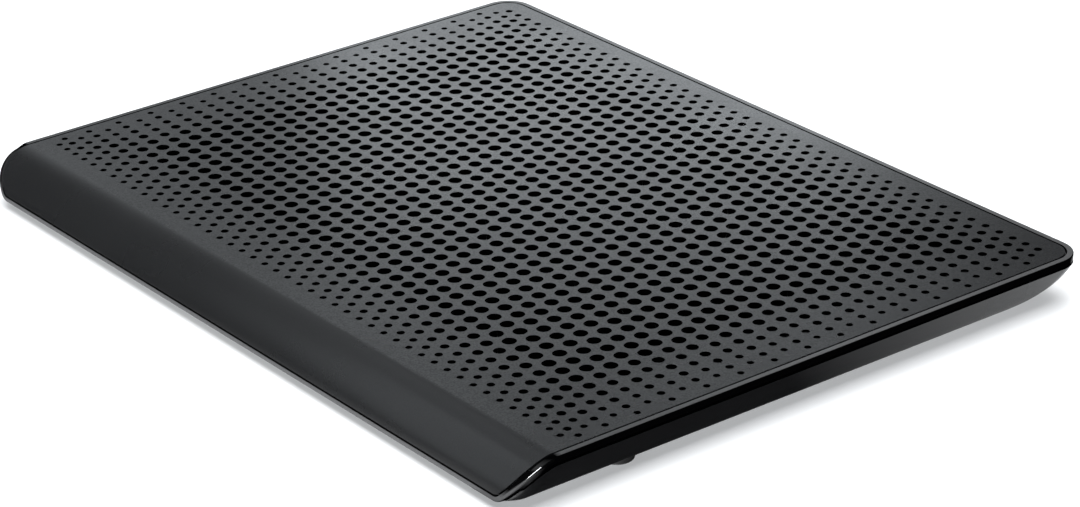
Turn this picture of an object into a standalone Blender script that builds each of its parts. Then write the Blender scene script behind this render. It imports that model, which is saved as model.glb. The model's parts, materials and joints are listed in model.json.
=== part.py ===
"""Laptop cooling pad with a perforated metal deck, two fans and fold-out rear legs.

Metres, +Z up. The origin is the centre of the footprint, on the table.
+X is the user's right, +Y the rear. The deck rolls down over a rounded lip at the front, -Y.

The deck and the bezel around it are one bent surface. They are laid out flat in developed
coordinates (x, s), where s is the distance behind the line at which the lip begins, and
on_surface() rolls that layout over the lip.
"""

import math

import bmesh
import bpy
from mathutils import Vector

MM = 0.001

# Overall size
WIDTH = 412 * MM
DEPTH = 310 * MM
FOOT_HEIGHT = 3 * MM
BODY_HEIGHT = 20.5 * MM
UNDERSIDE_Z = FOOT_HEIGHT
DECK_Z = FOOT_HEIGHT + BODY_HEIGHT
FIT_GAP = 0.35 * MM

# Rounded front lip, and the outline of the sheet in developed coordinates
LIP_RADIUS = 21.6 * MM
LIP_LENGTH = 28.6 * MM
LIP_CORNER_START = 5.4 * MM
LIP_CORNER_RADIUS = 30 * MM
LIP_CORNER_FILLET = 4.5 * MM
REAR_CORNER_RADIUS = 10 * MM
LIP_CORNER_STEPS = 6
FILLET_STEPS = 3
REAR_CORNER_STEPS = 5

# Bezel frame: visible strip beside the sheet, its height, and the ledge under the sheet
SIDE_STRIP = 3.4 * MM
FRONT_STRIP = 2.6 * MM
BEZEL_HEIGHT = 3.3 * MM
LEDGE = 3.6 * MM
BEZEL_STEM_RADIUS = 4 * MM

# Perforated sheet
SHEET_THICKNESS = 1 * MM
HOLE_PITCH = 9 * MM
HOLE_RADIUS = 3 * MM
HOLE_STRIDE = 2
HOLE_ROWS = 32
HOLE_COLUMNS = 46
HOLE_FIELD_REAR = 141 * MM
HOLE_SIDES = 6
EASED_STEPS = 5
FRONT_EASE = 0.39
REAR_EASE = 0.29
SIDE_EASE = 0.215

# Base shell
WALL = 2 * MM
FLOOR_TOP_Z = UNDERSIDE_Z + WALL
RIM_INSET = 0.4 * MM
BELLY_SIDE_INSET = 11.5 * MM
BELLY_REAR_INSET = 18 * MM
BELLY_FRONT_RADIUS = 9 * MM
BELLY_REAR_RADIUS = 22 * MM
BELLY_BULGE = 0.5
BELLY_STEPS = 3
POST_RADIUS = 3.5 * MM
SUPPORT_POSTS = ((0, -95), (0, -20), (0, 70), (-95, -85), (95, -85), (-95, 92), (95, 92))

# Fans
FAN_CENTRES = {"left": Vector((-0.095, 0.008, 0)), "right": Vector((0.095, 0.008, 0))}
FAN_SIZE = 80 * MM
FAN_BOTTOM_Z = 7 * MM
FAN_HEIGHT = 10 * MM
FAN_BORE_RADIUS = 38 * MM
FAN_HOLE_OFFSET = 35.75 * MM
FAN_STRUTS = 4
MOTOR_BASE_RADIUS = 13 * MM
MOTOR_BASE_THICKNESS = 1.2 * MM
FAN_CORNER_RADIUS = 4 * MM
STRUT_HALF_WIDTH = 1.5 * MM
BEARING_TUBE_RADII = (2.9 * MM, 4.2 * MM)
BEARING_TUBE_TOP_Z = 14 * MM
HUB_RADIUS = 15 * MM
HUB_BORE_RADIUS = 13.1 * MM
HUB_ZS = (8.9 * MM, 16.2 * MM)
HUB_TOP_THICKNESS = 1.6 * MM
BLADES = 7
BLADE_MIDDLE_Z = 12.3 * MM
BLADE_THICKNESS = 1.3 * MM
BLADE_ROOT_RADIUS = 14.2 * MM
BLADE_WAIST_RADIUS = 25 * MM
BLADE_TIP_RADIUS = 36.8 * MM
STATOR_POLE_RADIUS = 10.4 * MM
STATOR_GAP_RADIUS = 7.4 * MM
STATOR_BORE_RADIUS = 4.6 * MM
STATOR_ZS = (9.1 * MM, 13.2 * MM)
STATOR_SIDES = 32
STATOR_SIDES_PER_POLE = 4
BEARING_RADII = (1.35 * MM, 2.55 * MM)
BEARING_ZS = (8.6 * MM, 13.7 * MM)
MAGNET_RADII = (11.2 * MM, 12.7 * MM)
MAGNET_ZS = (9.1 * MM, 14.1 * MM)
SHAFT_RADIUS = 1.25 * MM
SHAFT_ZS = (8 * MM, 14.25 * MM)
INTAKE_RADIUS = 39 * MM
GRILLE_HUB_RADIUS = 8 * MM
GRILLE_SPOKES = 6
GRILLE_SPOKE_HALF_WIDTH = 1.1 * MM
GRILLE_RINGS = ((16.5 * MM, 1.3 * MM), (26 * MM, 1.3 * MM), (37.1 * MM, 1.55 * MM))

# Screws
SCREW_RADIUS = 1.5 * MM
SCREW_HOLE_RADIUS = 1.9 * MM
SCREW_HEAD_RADIUS = 3 * MM
SCREW_HEAD_HEIGHT = 1.8 * MM
CASE_SCREW_X = 186 * MM
CASE_SCREW_YS = {"front": -122 * MM, "middle": 10 * MM, "rear": 100 * MM}
CASE_RECESS_RADIUS = 3.8 * MM
CASE_SEAT_Z = 6.2 * MM
CASE_BOSS_TOP_Z = 8.2 * MM
CASE_BOSS_RADIUS = 5 * MM
CASE_SCREW_TIP_Z = 16 * MM
PILOT_BOTTOM_Z = UNDERSIDE_Z + 1.6 * MM
INNER_SCREW_TIP_Z = UNDERSIDE_Z + 2.2 * MM

# Rubber feet
FOOT_RADIUS = 7.5 * MM
FOOT_RECESS = 1.2 * MM
FOOT_PLACES = {
    "front_left": (-187 * MM, -90 * MM),
    "front_right": (187 * MM, -90 * MM),
    "rear_left": (-178 * MM, 121 * MM),
    "rear_right": (178 * MM, 121 * MM),
}

# Fold-out rear legs
LEG_X = {"left": -140 * MM, "right": 140 * MM}
LEG_AXIS_Y = 124 * MM
LEG_AXIS_Z = 6.8 * MM
LEG_WIDTH = 24 * MM
LEG_LENGTH = 52 * MM
LEG_TIP_LENGTH = 4.5 * MM
LEG_BOTTOM_Z = 3.4 * MM
LEG_TOP_Z = 7.9 * MM
LEG_BARREL_RADIUS = 2.9 * MM
LEG_PIN_RADIUS = 1.5 * MM
POCKET_FRONT_Y = 58 * MM
POCKET_REAR_Y = 130 * MM
POCKET_TOP_Z = 10.2 * MM
POCKET_SIDE_GAP = 0.8 * MM

# Control board, power socket and speed switch, at the rear
BOARD_HALF_WIDTH = 32 * MM
BOARD_YS = (116 * MM, 141 * MM)
BOARD_ZS = (8 * MM, 9.6 * MM)
BOARD_SCREW_XS = {"left": -26 * MM, "right": 26 * MM}
BOARD_SCREW_Y = 121 * MM
SOCKET_X = -20 * MM
SOCKET_SIZE = (9 * MM, 12.5 * MM, 4.4 * MM)
SWITCH_X = 18 * MM
SWITCH_TRAVEL = 4 * MM
SWITCH_SIZE = (16 * MM, 7 * MM, 5 * MM)
SOCKET_REAR_Y = 146.5 * MM
SOCKET_METAL = 0.7 * MM
SOCKET_DEPTH = 8 * MM
SWITCH_REAR_Y = 143 * MM
SLIDER_WIDTH = 4 * MM
SLIDER_HALF_HEIGHT = 1.6 * MM
SLIDER_REAR_Y = 152.6 * MM
PORT_Z = 12.1 * MM
PORT_HALF_HEIGHT = 2.4 * MM
CABLE_RADIUS = 1.1 * MM

LIP_START_Y = -DEPTH / 2 + LIP_RADIUS * math.sin((LIP_LENGTH + FIT_GAP + FRONT_STRIP) / LIP_RADIUS)
LIP_CENTRE_Z = DECK_Z - LIP_RADIUS
SHEET_HALF_WIDTH = WIDTH / 2 - SIDE_STRIP - FIT_GAP
SHEET_REAR_S = DEPTH / 2 - SIDE_STRIP - FIT_GAP - LIP_START_Y

FINISHES = {
    "sheet_paint": ((0.10, 0.10, 0.105), 0.45, 0.6),
    "bezel_gloss": ((0.012, 0.012, 0.013), 0.12, 0.0),
    "shell_plastic": ((0.02, 0.02, 0.022), 0.4, 0.0),
    "fan_plastic": ((0.025, 0.025, 0.026), 0.5, 0.0),
    "rubber": ((0.03, 0.03, 0.03), 0.85, 0.0),
    "steel": ((0.55, 0.55, 0.56), 0.3, 1.0),
    "copper": ((0.72, 0.42, 0.25), 0.35, 1.0),
    "magnet": ((0.12, 0.12, 0.13), 0.5, 0.8),
    "board": ((0.01, 0.013, 0.012), 0.4, 0.0),
    "cable": ((0.02, 0.02, 0.02), 0.6, 0.0),
}


# ---------------------------------------------------------------- scene helpers


def clear_scene():
    for obj in list(bpy.data.objects):
        bpy.data.objects.remove(obj, do_unlink=True)


def finish_material(name):
    """The shared material of this finish, made on first use."""
    found = bpy.data.materials.get(name)
    if found:
        return found
    colour, roughness, metallic = FINISHES[name]
    material = bpy.data.materials.new(name)
    material.use_nodes = True
    shader = material.node_tree.nodes["Principled BSDF"]
    shader.inputs["Base Color"].default_value = (*colour, 1)
    shader.inputs["Roughness"].default_value = roughness
    shader.inputs["Metallic"].default_value = metallic
    return material


def place(name, bm, finish, origin=(0, 0, 0)):
    """Make an object from a bmesh drawn in world coordinates, with its origin at the point given."""
    bmesh.ops.recalc_face_normals(bm, faces=bm.faces)
    bmesh.ops.translate(bm, verts=bm.verts, vec=-Vector(origin))
    mesh = bpy.data.meshes.new(name)
    bm.to_mesh(mesh)
    bm.free()
    mesh.shade_smooth()
    mesh.set_sharp_from_angle(angle=math.radians(35))
    mesh.materials.append(finish_material(finish))
    obj = bpy.data.objects.new(name, mesh)
    obj.location = origin
    bpy.context.scene.collection.objects.link(obj)
    return obj


def combine(target, operation, bm, name):
    """Add or subtract the solids in bm, by a Boolean with a hidden helper object."""
    finish = target.data.materials[0].name
    helper = place(name, bm, finish)
    helper.hide_render = True
    helper.display_type = "WIRE"
    modifier = target.modifiers.new(name, "BOOLEAN")
    modifier.operation = operation
    modifier.object = helper


def subtract(target, bm, name):
    combine(target, "DIFFERENCE", bm, name)


def unite(target, bm, name):
    combine(target, "UNION", bm, name)


# ---------------------------------------------------------------- solid helpers


def circle(centre, radius, sides, start=0.0):
    steps = [start + 2 * math.pi * i / sides for i in range(sides)]
    return [(centre[0] + radius * math.cos(a), centre[1] + radius * math.sin(a)) for a in steps]


def add_prism(bm, outline, low, high):
    """A vertical prism on an outline of (x, y) points."""
    face = bm.faces.new([bm.verts.new((x, y, low)) for x, y in outline])
    grown = bmesh.ops.extrude_face_region(bm, geom=[face])["geom"]
    raised = [item for item in grown if isinstance(item, bmesh.types.BMVert)]
    bmesh.ops.translate(bm, verts=raised, vec=(0, 0, high - low))


def add_cylinder(bm, centre, radius, low, high, sides=16):
    add_prism(bm, circle(centre, radius, sides, math.pi / sides), low, high)


def add_box(bm, low, high):
    outline = [(low[0], low[1]), (high[0], low[1]), (high[0], high[1]), (low[0], high[1])]
    add_prism(bm, outline, low[2], high[2])


def add_lathe(bm, profile, centre, sides):
    """Spin a closed (radius, z) profile about the vertical line through centre."""
    x, y = centre[0], centre[1]
    verts = [bm.verts.new((x + r, y, z)) for r, z in profile]
    pairs = zip(verts, verts[1:] + verts[:1])
    edges = [bm.edges.new(pair) for pair in pairs if pair[0].co.x > x or pair[1].co.x > x]
    bmesh.ops.spin(
        bm,
        geom=verts + edges,
        cent=(x, y, 0),
        axis=(0, 0, 1),
        angle=2 * math.pi,
        steps=sides,
        use_merge=True,
    )
    bmesh.ops.remove_doubles(bm, verts=bm.verts, dist=1e-6)


def add_x_cylinder(bm, x_from, x_to, y, z, radius, sides=12):
    """A cylinder along X."""
    rim = circle((y, z), radius, sides, math.pi / sides)
    face = bm.faces.new([bm.verts.new((x_from, a, b)) for a, b in rim])
    grown = bmesh.ops.extrude_face_region(bm, geom=[face])["geom"]
    moved = [item for item in grown if isinstance(item, bmesh.types.BMVert)]
    bmesh.ops.translate(bm, verts=moved, vec=(x_to - x_from, 0, 0))


def add_loft(bm, rings, closed_along=False):
    """Skin a row of equal rings. Unless the row closes on itself, the ends are capped."""
    rows = [[bm.verts.new(point) for point in ring] for ring in rings]
    count = len(rows[0])
    spans = list(zip(rows, rows[1:]))
    if closed_along:
        spans.append((rows[-1], rows[0]))
    for row, following in spans:
        for i in range(count):
            j = (i + 1) % count
            bm.faces.new((row[i], row[j], following[j], following[i]))
    if not closed_along:
        bm.faces.new(rows[0])
        bm.faces.new(rows[-1])


def add_strut(bm, centre, angle, reach, half_width, low, high):
    """A straight bar that runs outward from centre at this angle."""
    along = Vector((math.cos(angle), math.sin(angle), 0))
    across = Vector((-along.y, along.x, 0)) * half_width
    inner = centre + along * reach[0]
    outer = centre + along * reach[1]
    corners = (inner - across, outer - across, outer + across, inner + across)
    add_prism(bm, [(c.x, c.y) for c in corners], low, high)


# ---------------------------------------------------------------- the bent deck surface


def on_surface(x, s, depth):
    """World point under developed position (x, s), at this depth below the deck's outer surface."""
    if s >= 0:
        return Vector((x, LIP_START_Y + s, DECK_Z - depth))
    angle = -s / LIP_RADIUS
    radius = LIP_RADIUS - depth
    return Vector((x, LIP_START_Y - radius * math.sin(angle), LIP_CENTRE_Z + radius * math.cos(angle)))


def arc_stations(centre, radius, start, end, steps):
    """(centre, radius, angle) stations along an arc, in degrees."""
    return [(centre, radius, math.radians(start + (end - start) * i / steps)) for i in range(steps + 1)]


def right_stations():
    """The sheet outline's right half, from the front edge round to the rear edge."""
    reach = LIP_CORNER_RADIUS - LIP_CORNER_FILLET
    turn = math.asin((LIP_LENGTH - LIP_CORNER_START - LIP_CORNER_FILLET) / reach)
    corner = (SHEET_HALF_WIDTH - LIP_CORNER_RADIUS, -LIP_CORNER_START)
    fillet = (corner[0] + reach * math.cos(turn), corner[1] - reach * math.sin(turn))
    rear = (SHEET_HALF_WIDTH - REAR_CORNER_RADIUS, SHEET_REAR_S - REAR_CORNER_RADIUS)
    bottom = -math.degrees(turn)
    stations = arc_stations(fillet, LIP_CORNER_FILLET, -90, bottom, FILLET_STEPS)
    stations += arc_stations(corner, LIP_CORNER_RADIUS, bottom, 0, LIP_CORNER_STEPS)[1:]
    stations += [((SHEET_HALF_WIDTH, 0), 0, 0.0)]
    stations += arc_stations(rear, REAR_CORNER_RADIUS, 0, 90, REAR_CORNER_STEPS)
    return stations


def outline(offset):
    """Developed outline, grown outward by offset(how far the edge faces the front, 0 to 1)."""
    right = []
    for centre, radius, angle in right_stations():
        grown = radius + offset(max(0.0, -math.sin(angle)))
        right.append((centre[0] + grown * math.cos(angle), centre[1] + grown * math.sin(angle)))
    return right + [(-x, s) for x, s in reversed(right)]


def bezel_reach(front_facing):
    """How far the bezel's outer edge stands off the sheet's edge."""
    return FIT_GAP + SIDE_STRIP + (FRONT_STRIP - SIDE_STRIP) * front_facing**2


# ---------------------------------------------------------------- deck and bezel


def eased_positions(count, first, last):
    """Positions of count holes in pitches: one apart inside, closing up over the steps at each end."""
    positions = [0.0]
    for i in range(count - 1):
        from_first = max(0.0, 1 - i / EASED_STEPS)
        from_last = max(0.0, 1 - (count - 2 - i) / EASED_STEPS)
        positions.append(positions[-1] + 1 - first * from_first**1.2 - last * from_last**1.2)
    return positions


def hole_centres():
    """Every second hole of every second row, with each chosen row set off from the one before."""
    rows = eased_positions(HOLE_ROWS, FRONT_EASE, REAR_EASE)
    columns = eased_positions(HOLE_COLUMNS, SIDE_EASE, SIDE_EASE)
    centres = []
    for row in range(1, HOLE_ROWS, HOLE_STRIDE):
        y = HOLE_FIELD_REAR - (rows[-1] - rows[row]) * HOLE_PITCH
        first = (row // HOLE_STRIDE) % HOLE_STRIDE
        for column in range(first, HOLE_COLUMNS, HOLE_STRIDE):
            centres.append(((columns[column] - columns[-1] / 2) * HOLE_PITCH, y))
    return centres


def top_sheet():
    """Sheet metal deck: a flat perforated field, then strips that roll down over the lip."""
    bm = bmesh.new()
    edge = outline(lambda front_facing: 0)
    bend = FILLET_STEPS + LIP_CORNER_STEPS + 1
    flat = edge[bend : len(edge) - bend]
    loops = [flat]
    for x, y in hole_centres():
        loops.append(circle((x, y - LIP_START_Y), HOLE_RADIUS, HOLE_SIDES))
    edges = []
    for loop in loops:
        verts = [bm.verts.new((x, s, 0)) for x, s in loop]
        edges += [bm.edges.new(pair) for pair in zip(verts, verts[1:] + verts[:1])]
        if loop is flat:
            previous = (verts[-1], verts[0])
    bmesh.ops.triangle_fill(bm, use_beauty=True, use_dissolve=False, edges=edges)
    for i in range(bend - 1, -1, -1):
        x, s = edge[i]
        row = (bm.verts.new((-x, s, 0)), bm.verts.new((x, s, 0)))
        bm.faces.new((previous[0], previous[1], row[1], row[0]))
        previous = row
    upper = list(bm.verts)
    grown = bmesh.ops.extrude_face_region(bm, geom=list(bm.faces))["geom"]
    lower = [item for item in grown if isinstance(item, bmesh.types.BMVert)]
    for verts, depth in ((upper, 0), (lower, SHEET_THICKNESS)):
        for vert in verts:
            vert.co = on_surface(vert.co.x, vert.co.y, depth)
    place("top_sheet", bm, "sheet_paint")


def bezel_frame():
    """Gloss frame: a rim flush with the sheet, a ledge under it, and six screw bosses."""
    bm = bmesh.new()
    ledge_depth = SHEET_THICKNESS + FIT_GAP
    section = (
        (bezel_reach, 0),
        (bezel_reach, BEZEL_HEIGHT),
        (lambda front_facing: -LEDGE, BEZEL_HEIGHT),
        (lambda front_facing: -LEDGE, ledge_depth),
        (lambda front_facing: FIT_GAP, ledge_depth),
        (lambda front_facing: FIT_GAP, 0),
    )
    corners = [[on_surface(x, s, depth) for x, s in outline(reach)] for reach, depth in section]
    add_loft(bm, [list(ring) for ring in zip(*corners)], closed_along=True)
    frame = place("bezel_frame", bm, "bezel_gloss")

    bosses = bmesh.new()
    tab_low, tab_high = DECK_Z - BEZEL_HEIGHT, DECK_Z - ledge_depth
    for side in (-1, 1):
        for y in CASE_SCREW_YS.values():
            half = CASE_BOSS_RADIUS
            ends = sorted((side * (CASE_SCREW_X - half), side * (SHEET_HALF_WIDTH - MM)))
            add_box(bosses, (ends[0], y - half, tab_low), (ends[1], y + half, tab_high))
    unite(frame, bosses, "bezel_tabs")
    stems = bmesh.new()
    bores = bmesh.new()
    for side in (-1, 1):
        for y in CASE_SCREW_YS.values():
            spot = (side * CASE_SCREW_X, y)
            add_cylinder(stems, spot, BEZEL_STEM_RADIUS, CASE_BOSS_TOP_Z + FIT_GAP, tab_high - MM, 12)
            add_cylinder(bores, spot, SCREW_HOLE_RADIUS, 0, tab_low - 2 * MM, 10)
    unite(frame, stems, "bezel_stems")
    subtract(frame, bores, "bezel_bores")


# ---------------------------------------------------------------- base shell


def rim_point(x, s):
    """Where the shell meets the bezel's lower edge, held above the floor at the front."""
    depth = BEZEL_HEIGHT + FIT_GAP
    lowest = LIP_RADIUS * math.acos((FLOOR_TOP_Z - LIP_CENTRE_Z) / (LIP_RADIUS - depth))
    return on_surface(x, max(s, -lowest), depth)


def rim_ring(inset):
    return [rim_point(x, s) for x, s in outline(lambda facing: bezel_reach(facing) - inset)]


def belly_ring(inset, z):
    """Outline of the flat underside, point for point with the rim."""
    front = rim_point(0, -LIP_RADIUS * 2).y
    side = WIDTH / 2 - BELLY_SIDE_INSET
    rear = DEPTH / 2 - BELLY_REAR_INSET
    front_centre = (side - BELLY_FRONT_RADIUS, front + BELLY_FRONT_RADIUS)
    rear_centre = (side - BELLY_REAR_RADIUS, rear - BELLY_REAR_RADIUS)
    corner_steps = FILLET_STEPS + LIP_CORNER_STEPS
    stations = arc_stations(front_centre, BELLY_FRONT_RADIUS, -90, 0, corner_steps)
    stations += [((side, LIP_START_Y), 0, 0.0)]
    stations += arc_stations(rear_centre, BELLY_REAR_RADIUS, 0, 90, REAR_CORNER_STEPS)
    right = []
    for centre, radius, angle in stations:
        grown = radius - inset
        right.append((centre[0] + grown * math.cos(angle), centre[1] + grown * math.sin(angle)))
    return [Vector((x, y, z)) for x, y in right + [(-x, y) for x, y in reversed(right)]]


def belly_rings(rim, belly):
    """Rings from the rim down to the underside, part slant and part quarter ellipse."""
    rings = []
    for step in range(BELLY_STEPS + 1):
        t = step / BELLY_STEPS
        across = t + BELLY_BULGE * (1 - math.cos(t * math.pi / 2) - t)
        down = t + BELLY_BULGE * (math.sin(t * math.pi / 2) - t)
        ring = []
        for high, low in zip(rim, belly):
            flat = high.lerp(low, across)
            ring.append(Vector((flat.x, flat.y, high.z + (low.z - high.z) * down)))
        rings.append(ring)
    return rings


def add_tray(bm, rings):
    """Skin the belly rings, close the underside, and close the top by strips from side to side."""
    rows = [[bm.verts.new(point) for point in ring] for ring in rings]
    count = len(rows[0])
    for row, following in zip(rows, rows[1:]):
        for i in range(count):
            j = (i + 1) % count
            bm.faces.new((row[i], row[j], following[j], following[i]))
    bm.faces.new(rows[-1])
    top = rows[0]
    in_front_line = sum(vert.co.y < top[0].co.y + 1e-6 for vert in top[: count // 2])
    bm.faces.new(top[: in_front_line + 1] + top[count - in_front_line - 1 :])
    for i in range(in_front_line, count // 2 - 1):
        bm.faces.new((top[i], top[i + 1], top[-2 - i], top[-1 - i]))


def shell_cavity():
    bm = bmesh.new()
    rim = rim_ring(RIM_INSET + WALL)
    for point in rim:
        point.z = max(point.z, FLOOR_TOP_Z + 3 * MM)
    opening = [Vector((point.x, point.y, DECK_Z + 5 * MM)) for point in rim]
    add_tray(bm, [opening] + belly_rings(rim, belly_ring(WALL, FLOOR_TOP_Z)))
    return bm


def shell_additions():
    """Posts, screw bosses and leg pocket walls that rise from the floor."""
    bm = bmesh.new()
    root = UNDERSIDE_Z + MM
    for x, y in SUPPORT_POSTS:
        top = DECK_Z - SHEET_THICKNESS - FIT_GAP
        add_cylinder(bm, (x * MM, y * MM), POST_RADIUS, root, top, 10)
    for centre in FAN_CENTRES.values():
        for side_x in (-1, 1):
            for side_y in (-1, 1):
                spot = centre + Vector((side_x, side_y, 0)) * FAN_HOLE_OFFSET
                add_cylinder(bm, spot, POST_RADIUS, root, FAN_BOTTOM_Z - FIT_GAP, 10)
    for side in (-1, 1):
        for y in CASE_SCREW_YS.values():
            add_cylinder(bm, (side * CASE_SCREW_X, y), CASE_BOSS_RADIUS, root, CASE_BOSS_TOP_Z, 14)
    for x in LEG_X.values():
        half = LEG_WIDTH / 2 + POCKET_SIDE_GAP + WALL
        low = (x - half, POCKET_FRONT_Y - WALL, root)
        high = (x + half, POCKET_REAR_Y + WALL, POCKET_TOP_Z + WALL)
        add_box(bm, low, high)
    for x in BOARD_SCREW_XS.values():
        add_cylinder(bm, (x, BOARD_SCREW_Y), POST_RADIUS, root, BOARD_ZS[0] - FIT_GAP, 10)
    return bm


def shell_openings():
    """Everything cut through or into the shell."""
    bm = bmesh.new()
    below = UNDERSIDE_Z - 2 * MM
    for centre in FAN_CENTRES.values():
        add_cylinder(bm, centre, INTAKE_RADIUS, below, FLOOR_TOP_Z + MM, 40)
        for spot in fan_screw_spots(centre):
            add_cylinder(bm, spot, SCREW_HOLE_RADIUS, PILOT_BOTTOM_Z, FAN_BOTTOM_Z + MM, 8)
    for side in (-1, 1):
        for y in CASE_SCREW_YS.values():
            centre = (side * CASE_SCREW_X, y)
            profile = (
                (0, below),
                (CASE_RECESS_RADIUS, below),
                (CASE_RECESS_RADIUS, CASE_SEAT_Z),
                (SCREW_HOLE_RADIUS, CASE_SEAT_Z),
                (SCREW_HOLE_RADIUS, CASE_BOSS_TOP_Z + MM),
                (0, CASE_BOSS_TOP_Z + MM),
            )
            add_lathe(bm, profile, centre, 10)
    for centre in FOOT_PLACES.values():
        add_cylinder(bm, centre, FOOT_RADIUS + 0.5 * MM, below, UNDERSIDE_Z + FOOT_RECESS, 20)
    for x in LEG_X.values():
        half = LEG_WIDTH / 2 + POCKET_SIDE_GAP
        add_box(bm, (x - half, POCKET_FRONT_Y, below), (x + half, POCKET_REAR_Y, POCKET_TOP_Z))
    for x in BOARD_SCREW_XS.values():
        spot = (x, BOARD_SCREW_Y)
        add_cylinder(bm, spot, SCREW_HOLE_RADIUS, PILOT_BOTTOM_Z, BOARD_ZS[0] + MM, 8)
    return bm


def shell_side_openings():
    """Pin holes through the leg pockets, and the two ports in the rear wall."""
    bm = bmesh.new()
    for x in LEG_X.values():
        half = LEG_WIDTH / 2 + POCKET_SIDE_GAP + 2 * WALL
        add_x_cylinder(bm, x - half, x + half, LEG_AXIS_Y, LEG_AXIS_Z, LEG_PIN_RADIUS + FIT_GAP)
    ports = (
        (SOCKET_X - SOCKET_SIZE[0] / 2, SOCKET_X + SOCKET_SIZE[0] / 2),
        (SWITCH_X - SLIDER_WIDTH / 2 - MM, SWITCH_X + SLIDER_WIDTH / 2 + SWITCH_TRAVEL + MM),
    )
    for x_from, x_to in ports:
        low = (x_from, SWITCH_REAR_Y, PORT_Z - PORT_HALF_HEIGHT)
        add_box(bm, low, (x_to, DEPTH / 2 + 5 * MM, PORT_Z + PORT_HALF_HEIGHT))
    return bm


def base_shell():
    bm = bmesh.new()
    add_tray(bm, belly_rings(rim_ring(RIM_INSET), belly_ring(0, UNDERSIDE_Z)))
    shell = place("base_shell", bm, "shell_plastic")
    subtract(shell, shell_cavity(), "shell_cavity")
    unite(shell, shell_additions(), "shell_additions")
    subtract(shell, shell_openings(), "shell_openings")
    subtract(shell, shell_side_openings(), "shell_side_openings")


# ---------------------------------------------------------------- fans


def fan_screw_spots(centre):
    """The two corners, on one diagonal, that hold a fan's screws."""
    return [centre + Vector((s, -s, 0)) * FAN_HOLE_OFFSET for s in (-1, 1)]


def fan_housing(side, centre):
    """Square frame with a round bore, and struts that carry the motor base and bearing tube."""
    half = Vector((FAN_SIZE / 2, FAN_SIZE / 2, 0))
    top = FAN_BOTTOM_Z + FAN_HEIGHT
    base_top = FAN_BOTTOM_Z + MOTOR_BASE_THICKNESS
    bm = bmesh.new()
    low, high = centre - half, centre + half
    add_box(bm, (low.x, low.y, FAN_BOTTOM_Z), (high.x, high.y, top))
    upright = [edge for edge in bm.edges if abs(edge.verts[0].co.z - edge.verts[1].co.z) > MM]
    radius = FAN_CORNER_RADIUS
    bmesh.ops.bevel(bm, geom=upright, offset=radius, segments=2, profile=0.5, affect="EDGES")
    housing = place(f"fan_housing_{side}", bm, "fan_plastic")

    bores = bmesh.new()
    add_cylinder(bores, centre, FAN_BORE_RADIUS, 0, top + MM, 36)
    for side_x in (-1, 1):
        for side_y in (-1, 1):
            spot = centre + Vector((side_x, side_y, 0)) * FAN_HOLE_OFFSET
            add_cylinder(bores, spot, SCREW_HOLE_RADIUS, 0, top + MM, 8)
    subtract(housing, bores, f"fan_bores_{side}")

    motor = bmesh.new()
    tube = (
        (BEARING_TUBE_RADII[0], FAN_BOTTOM_Z),
        (MOTOR_BASE_RADIUS, FAN_BOTTOM_Z),
        (MOTOR_BASE_RADIUS, base_top),
        (BEARING_TUBE_RADII[1], base_top),
        (BEARING_TUBE_RADII[1], BEARING_TUBE_TOP_Z),
        (BEARING_TUBE_RADII[0], BEARING_TUBE_TOP_Z),
    )
    add_lathe(motor, tube, centre, 20)
    unite(housing, motor, f"motor_base_{side}")
    struts = bmesh.new()
    reach = (MOTOR_BASE_RADIUS - 2 * MM, FAN_BORE_RADIUS + MM)
    zs = (FAN_BOTTOM_Z + 0.1 * MM, base_top - 0.1 * MM)
    for i in range(FAN_STRUTS):
        angle = 2 * math.pi * (i + 0.5) / FAN_STRUTS
        add_strut(struts, centre, angle, reach, STRUT_HALF_WIDTH, *zs)
    unite(housing, struts, f"fan_struts_{side}")


def blade_section(centre, radius, angle, pitch, chord):
    """A blade's cross-section at this radius: a thin plate that leans by pitch."""
    outward = Vector((math.cos(angle), math.sin(angle), 0))
    along = Vector((-outward.y, outward.x, 0)) * math.cos(pitch) + Vector((0, 0, math.sin(pitch)))
    normal = outward.cross(along)
    middle = centre + outward * radius + Vector((0, 0, BLADE_MIDDLE_Z))
    half, thick = along * chord / 2, normal * BLADE_THICKNESS / 2
    return [middle - half - thick, middle + half - thick, middle + half + thick, middle - half + thick]


def fan_impeller(side, centre):
    """Hub cup, open below, with swept blades that grow wider and flatter towards the tip."""
    bm = bmesh.new()
    low, high = HUB_ZS
    cup = (
        (HUB_BORE_RADIUS, low),
        (HUB_RADIUS, low),
        (HUB_RADIUS, high - MM),
        (HUB_RADIUS - MM, high),
        (0, high),
        (0, high - HUB_TOP_THICKNESS),
        (HUB_BORE_RADIUS, high - HUB_TOP_THICKNESS),
    )
    add_lathe(bm, cup, centre, 28)
    impeller = place(f"fan_impeller_{side}", bm, "fan_plastic", origin=centre)
    blades = bmesh.new()
    stations = (
        (BLADE_ROOT_RADIUS, 0, 38, 9 * MM),
        (BLADE_WAIST_RADIUS, 0.14, 30, 13 * MM),
        (BLADE_TIP_RADIUS, 0.36, 24, 16 * MM),
    )
    for i in range(BLADES):
        angle = 2 * math.pi * i / BLADES
        rings = [
            blade_section(centre, radius, angle + sweep, math.radians(pitch), chord)
            for radius, sweep, pitch, chord in stations
        ]
        add_loft(blades, rings)
    unite(impeller, blades, f"blades_{side}")


def stator_rim(centre):
    """Outline of the motor core: four poles with a gap after each."""
    rim = []
    for i in range(STATOR_SIDES):
        on_pole = (i // STATOR_SIDES_PER_POLE) % 2 == 0
        radius = STATOR_POLE_RADIUS if on_pole else STATOR_GAP_RADIUS
        angle = 2 * math.pi * i / STATOR_SIDES
        rim.append((centre.x + radius * math.cos(angle), centre.y + radius * math.sin(angle)))
    return rim


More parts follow.
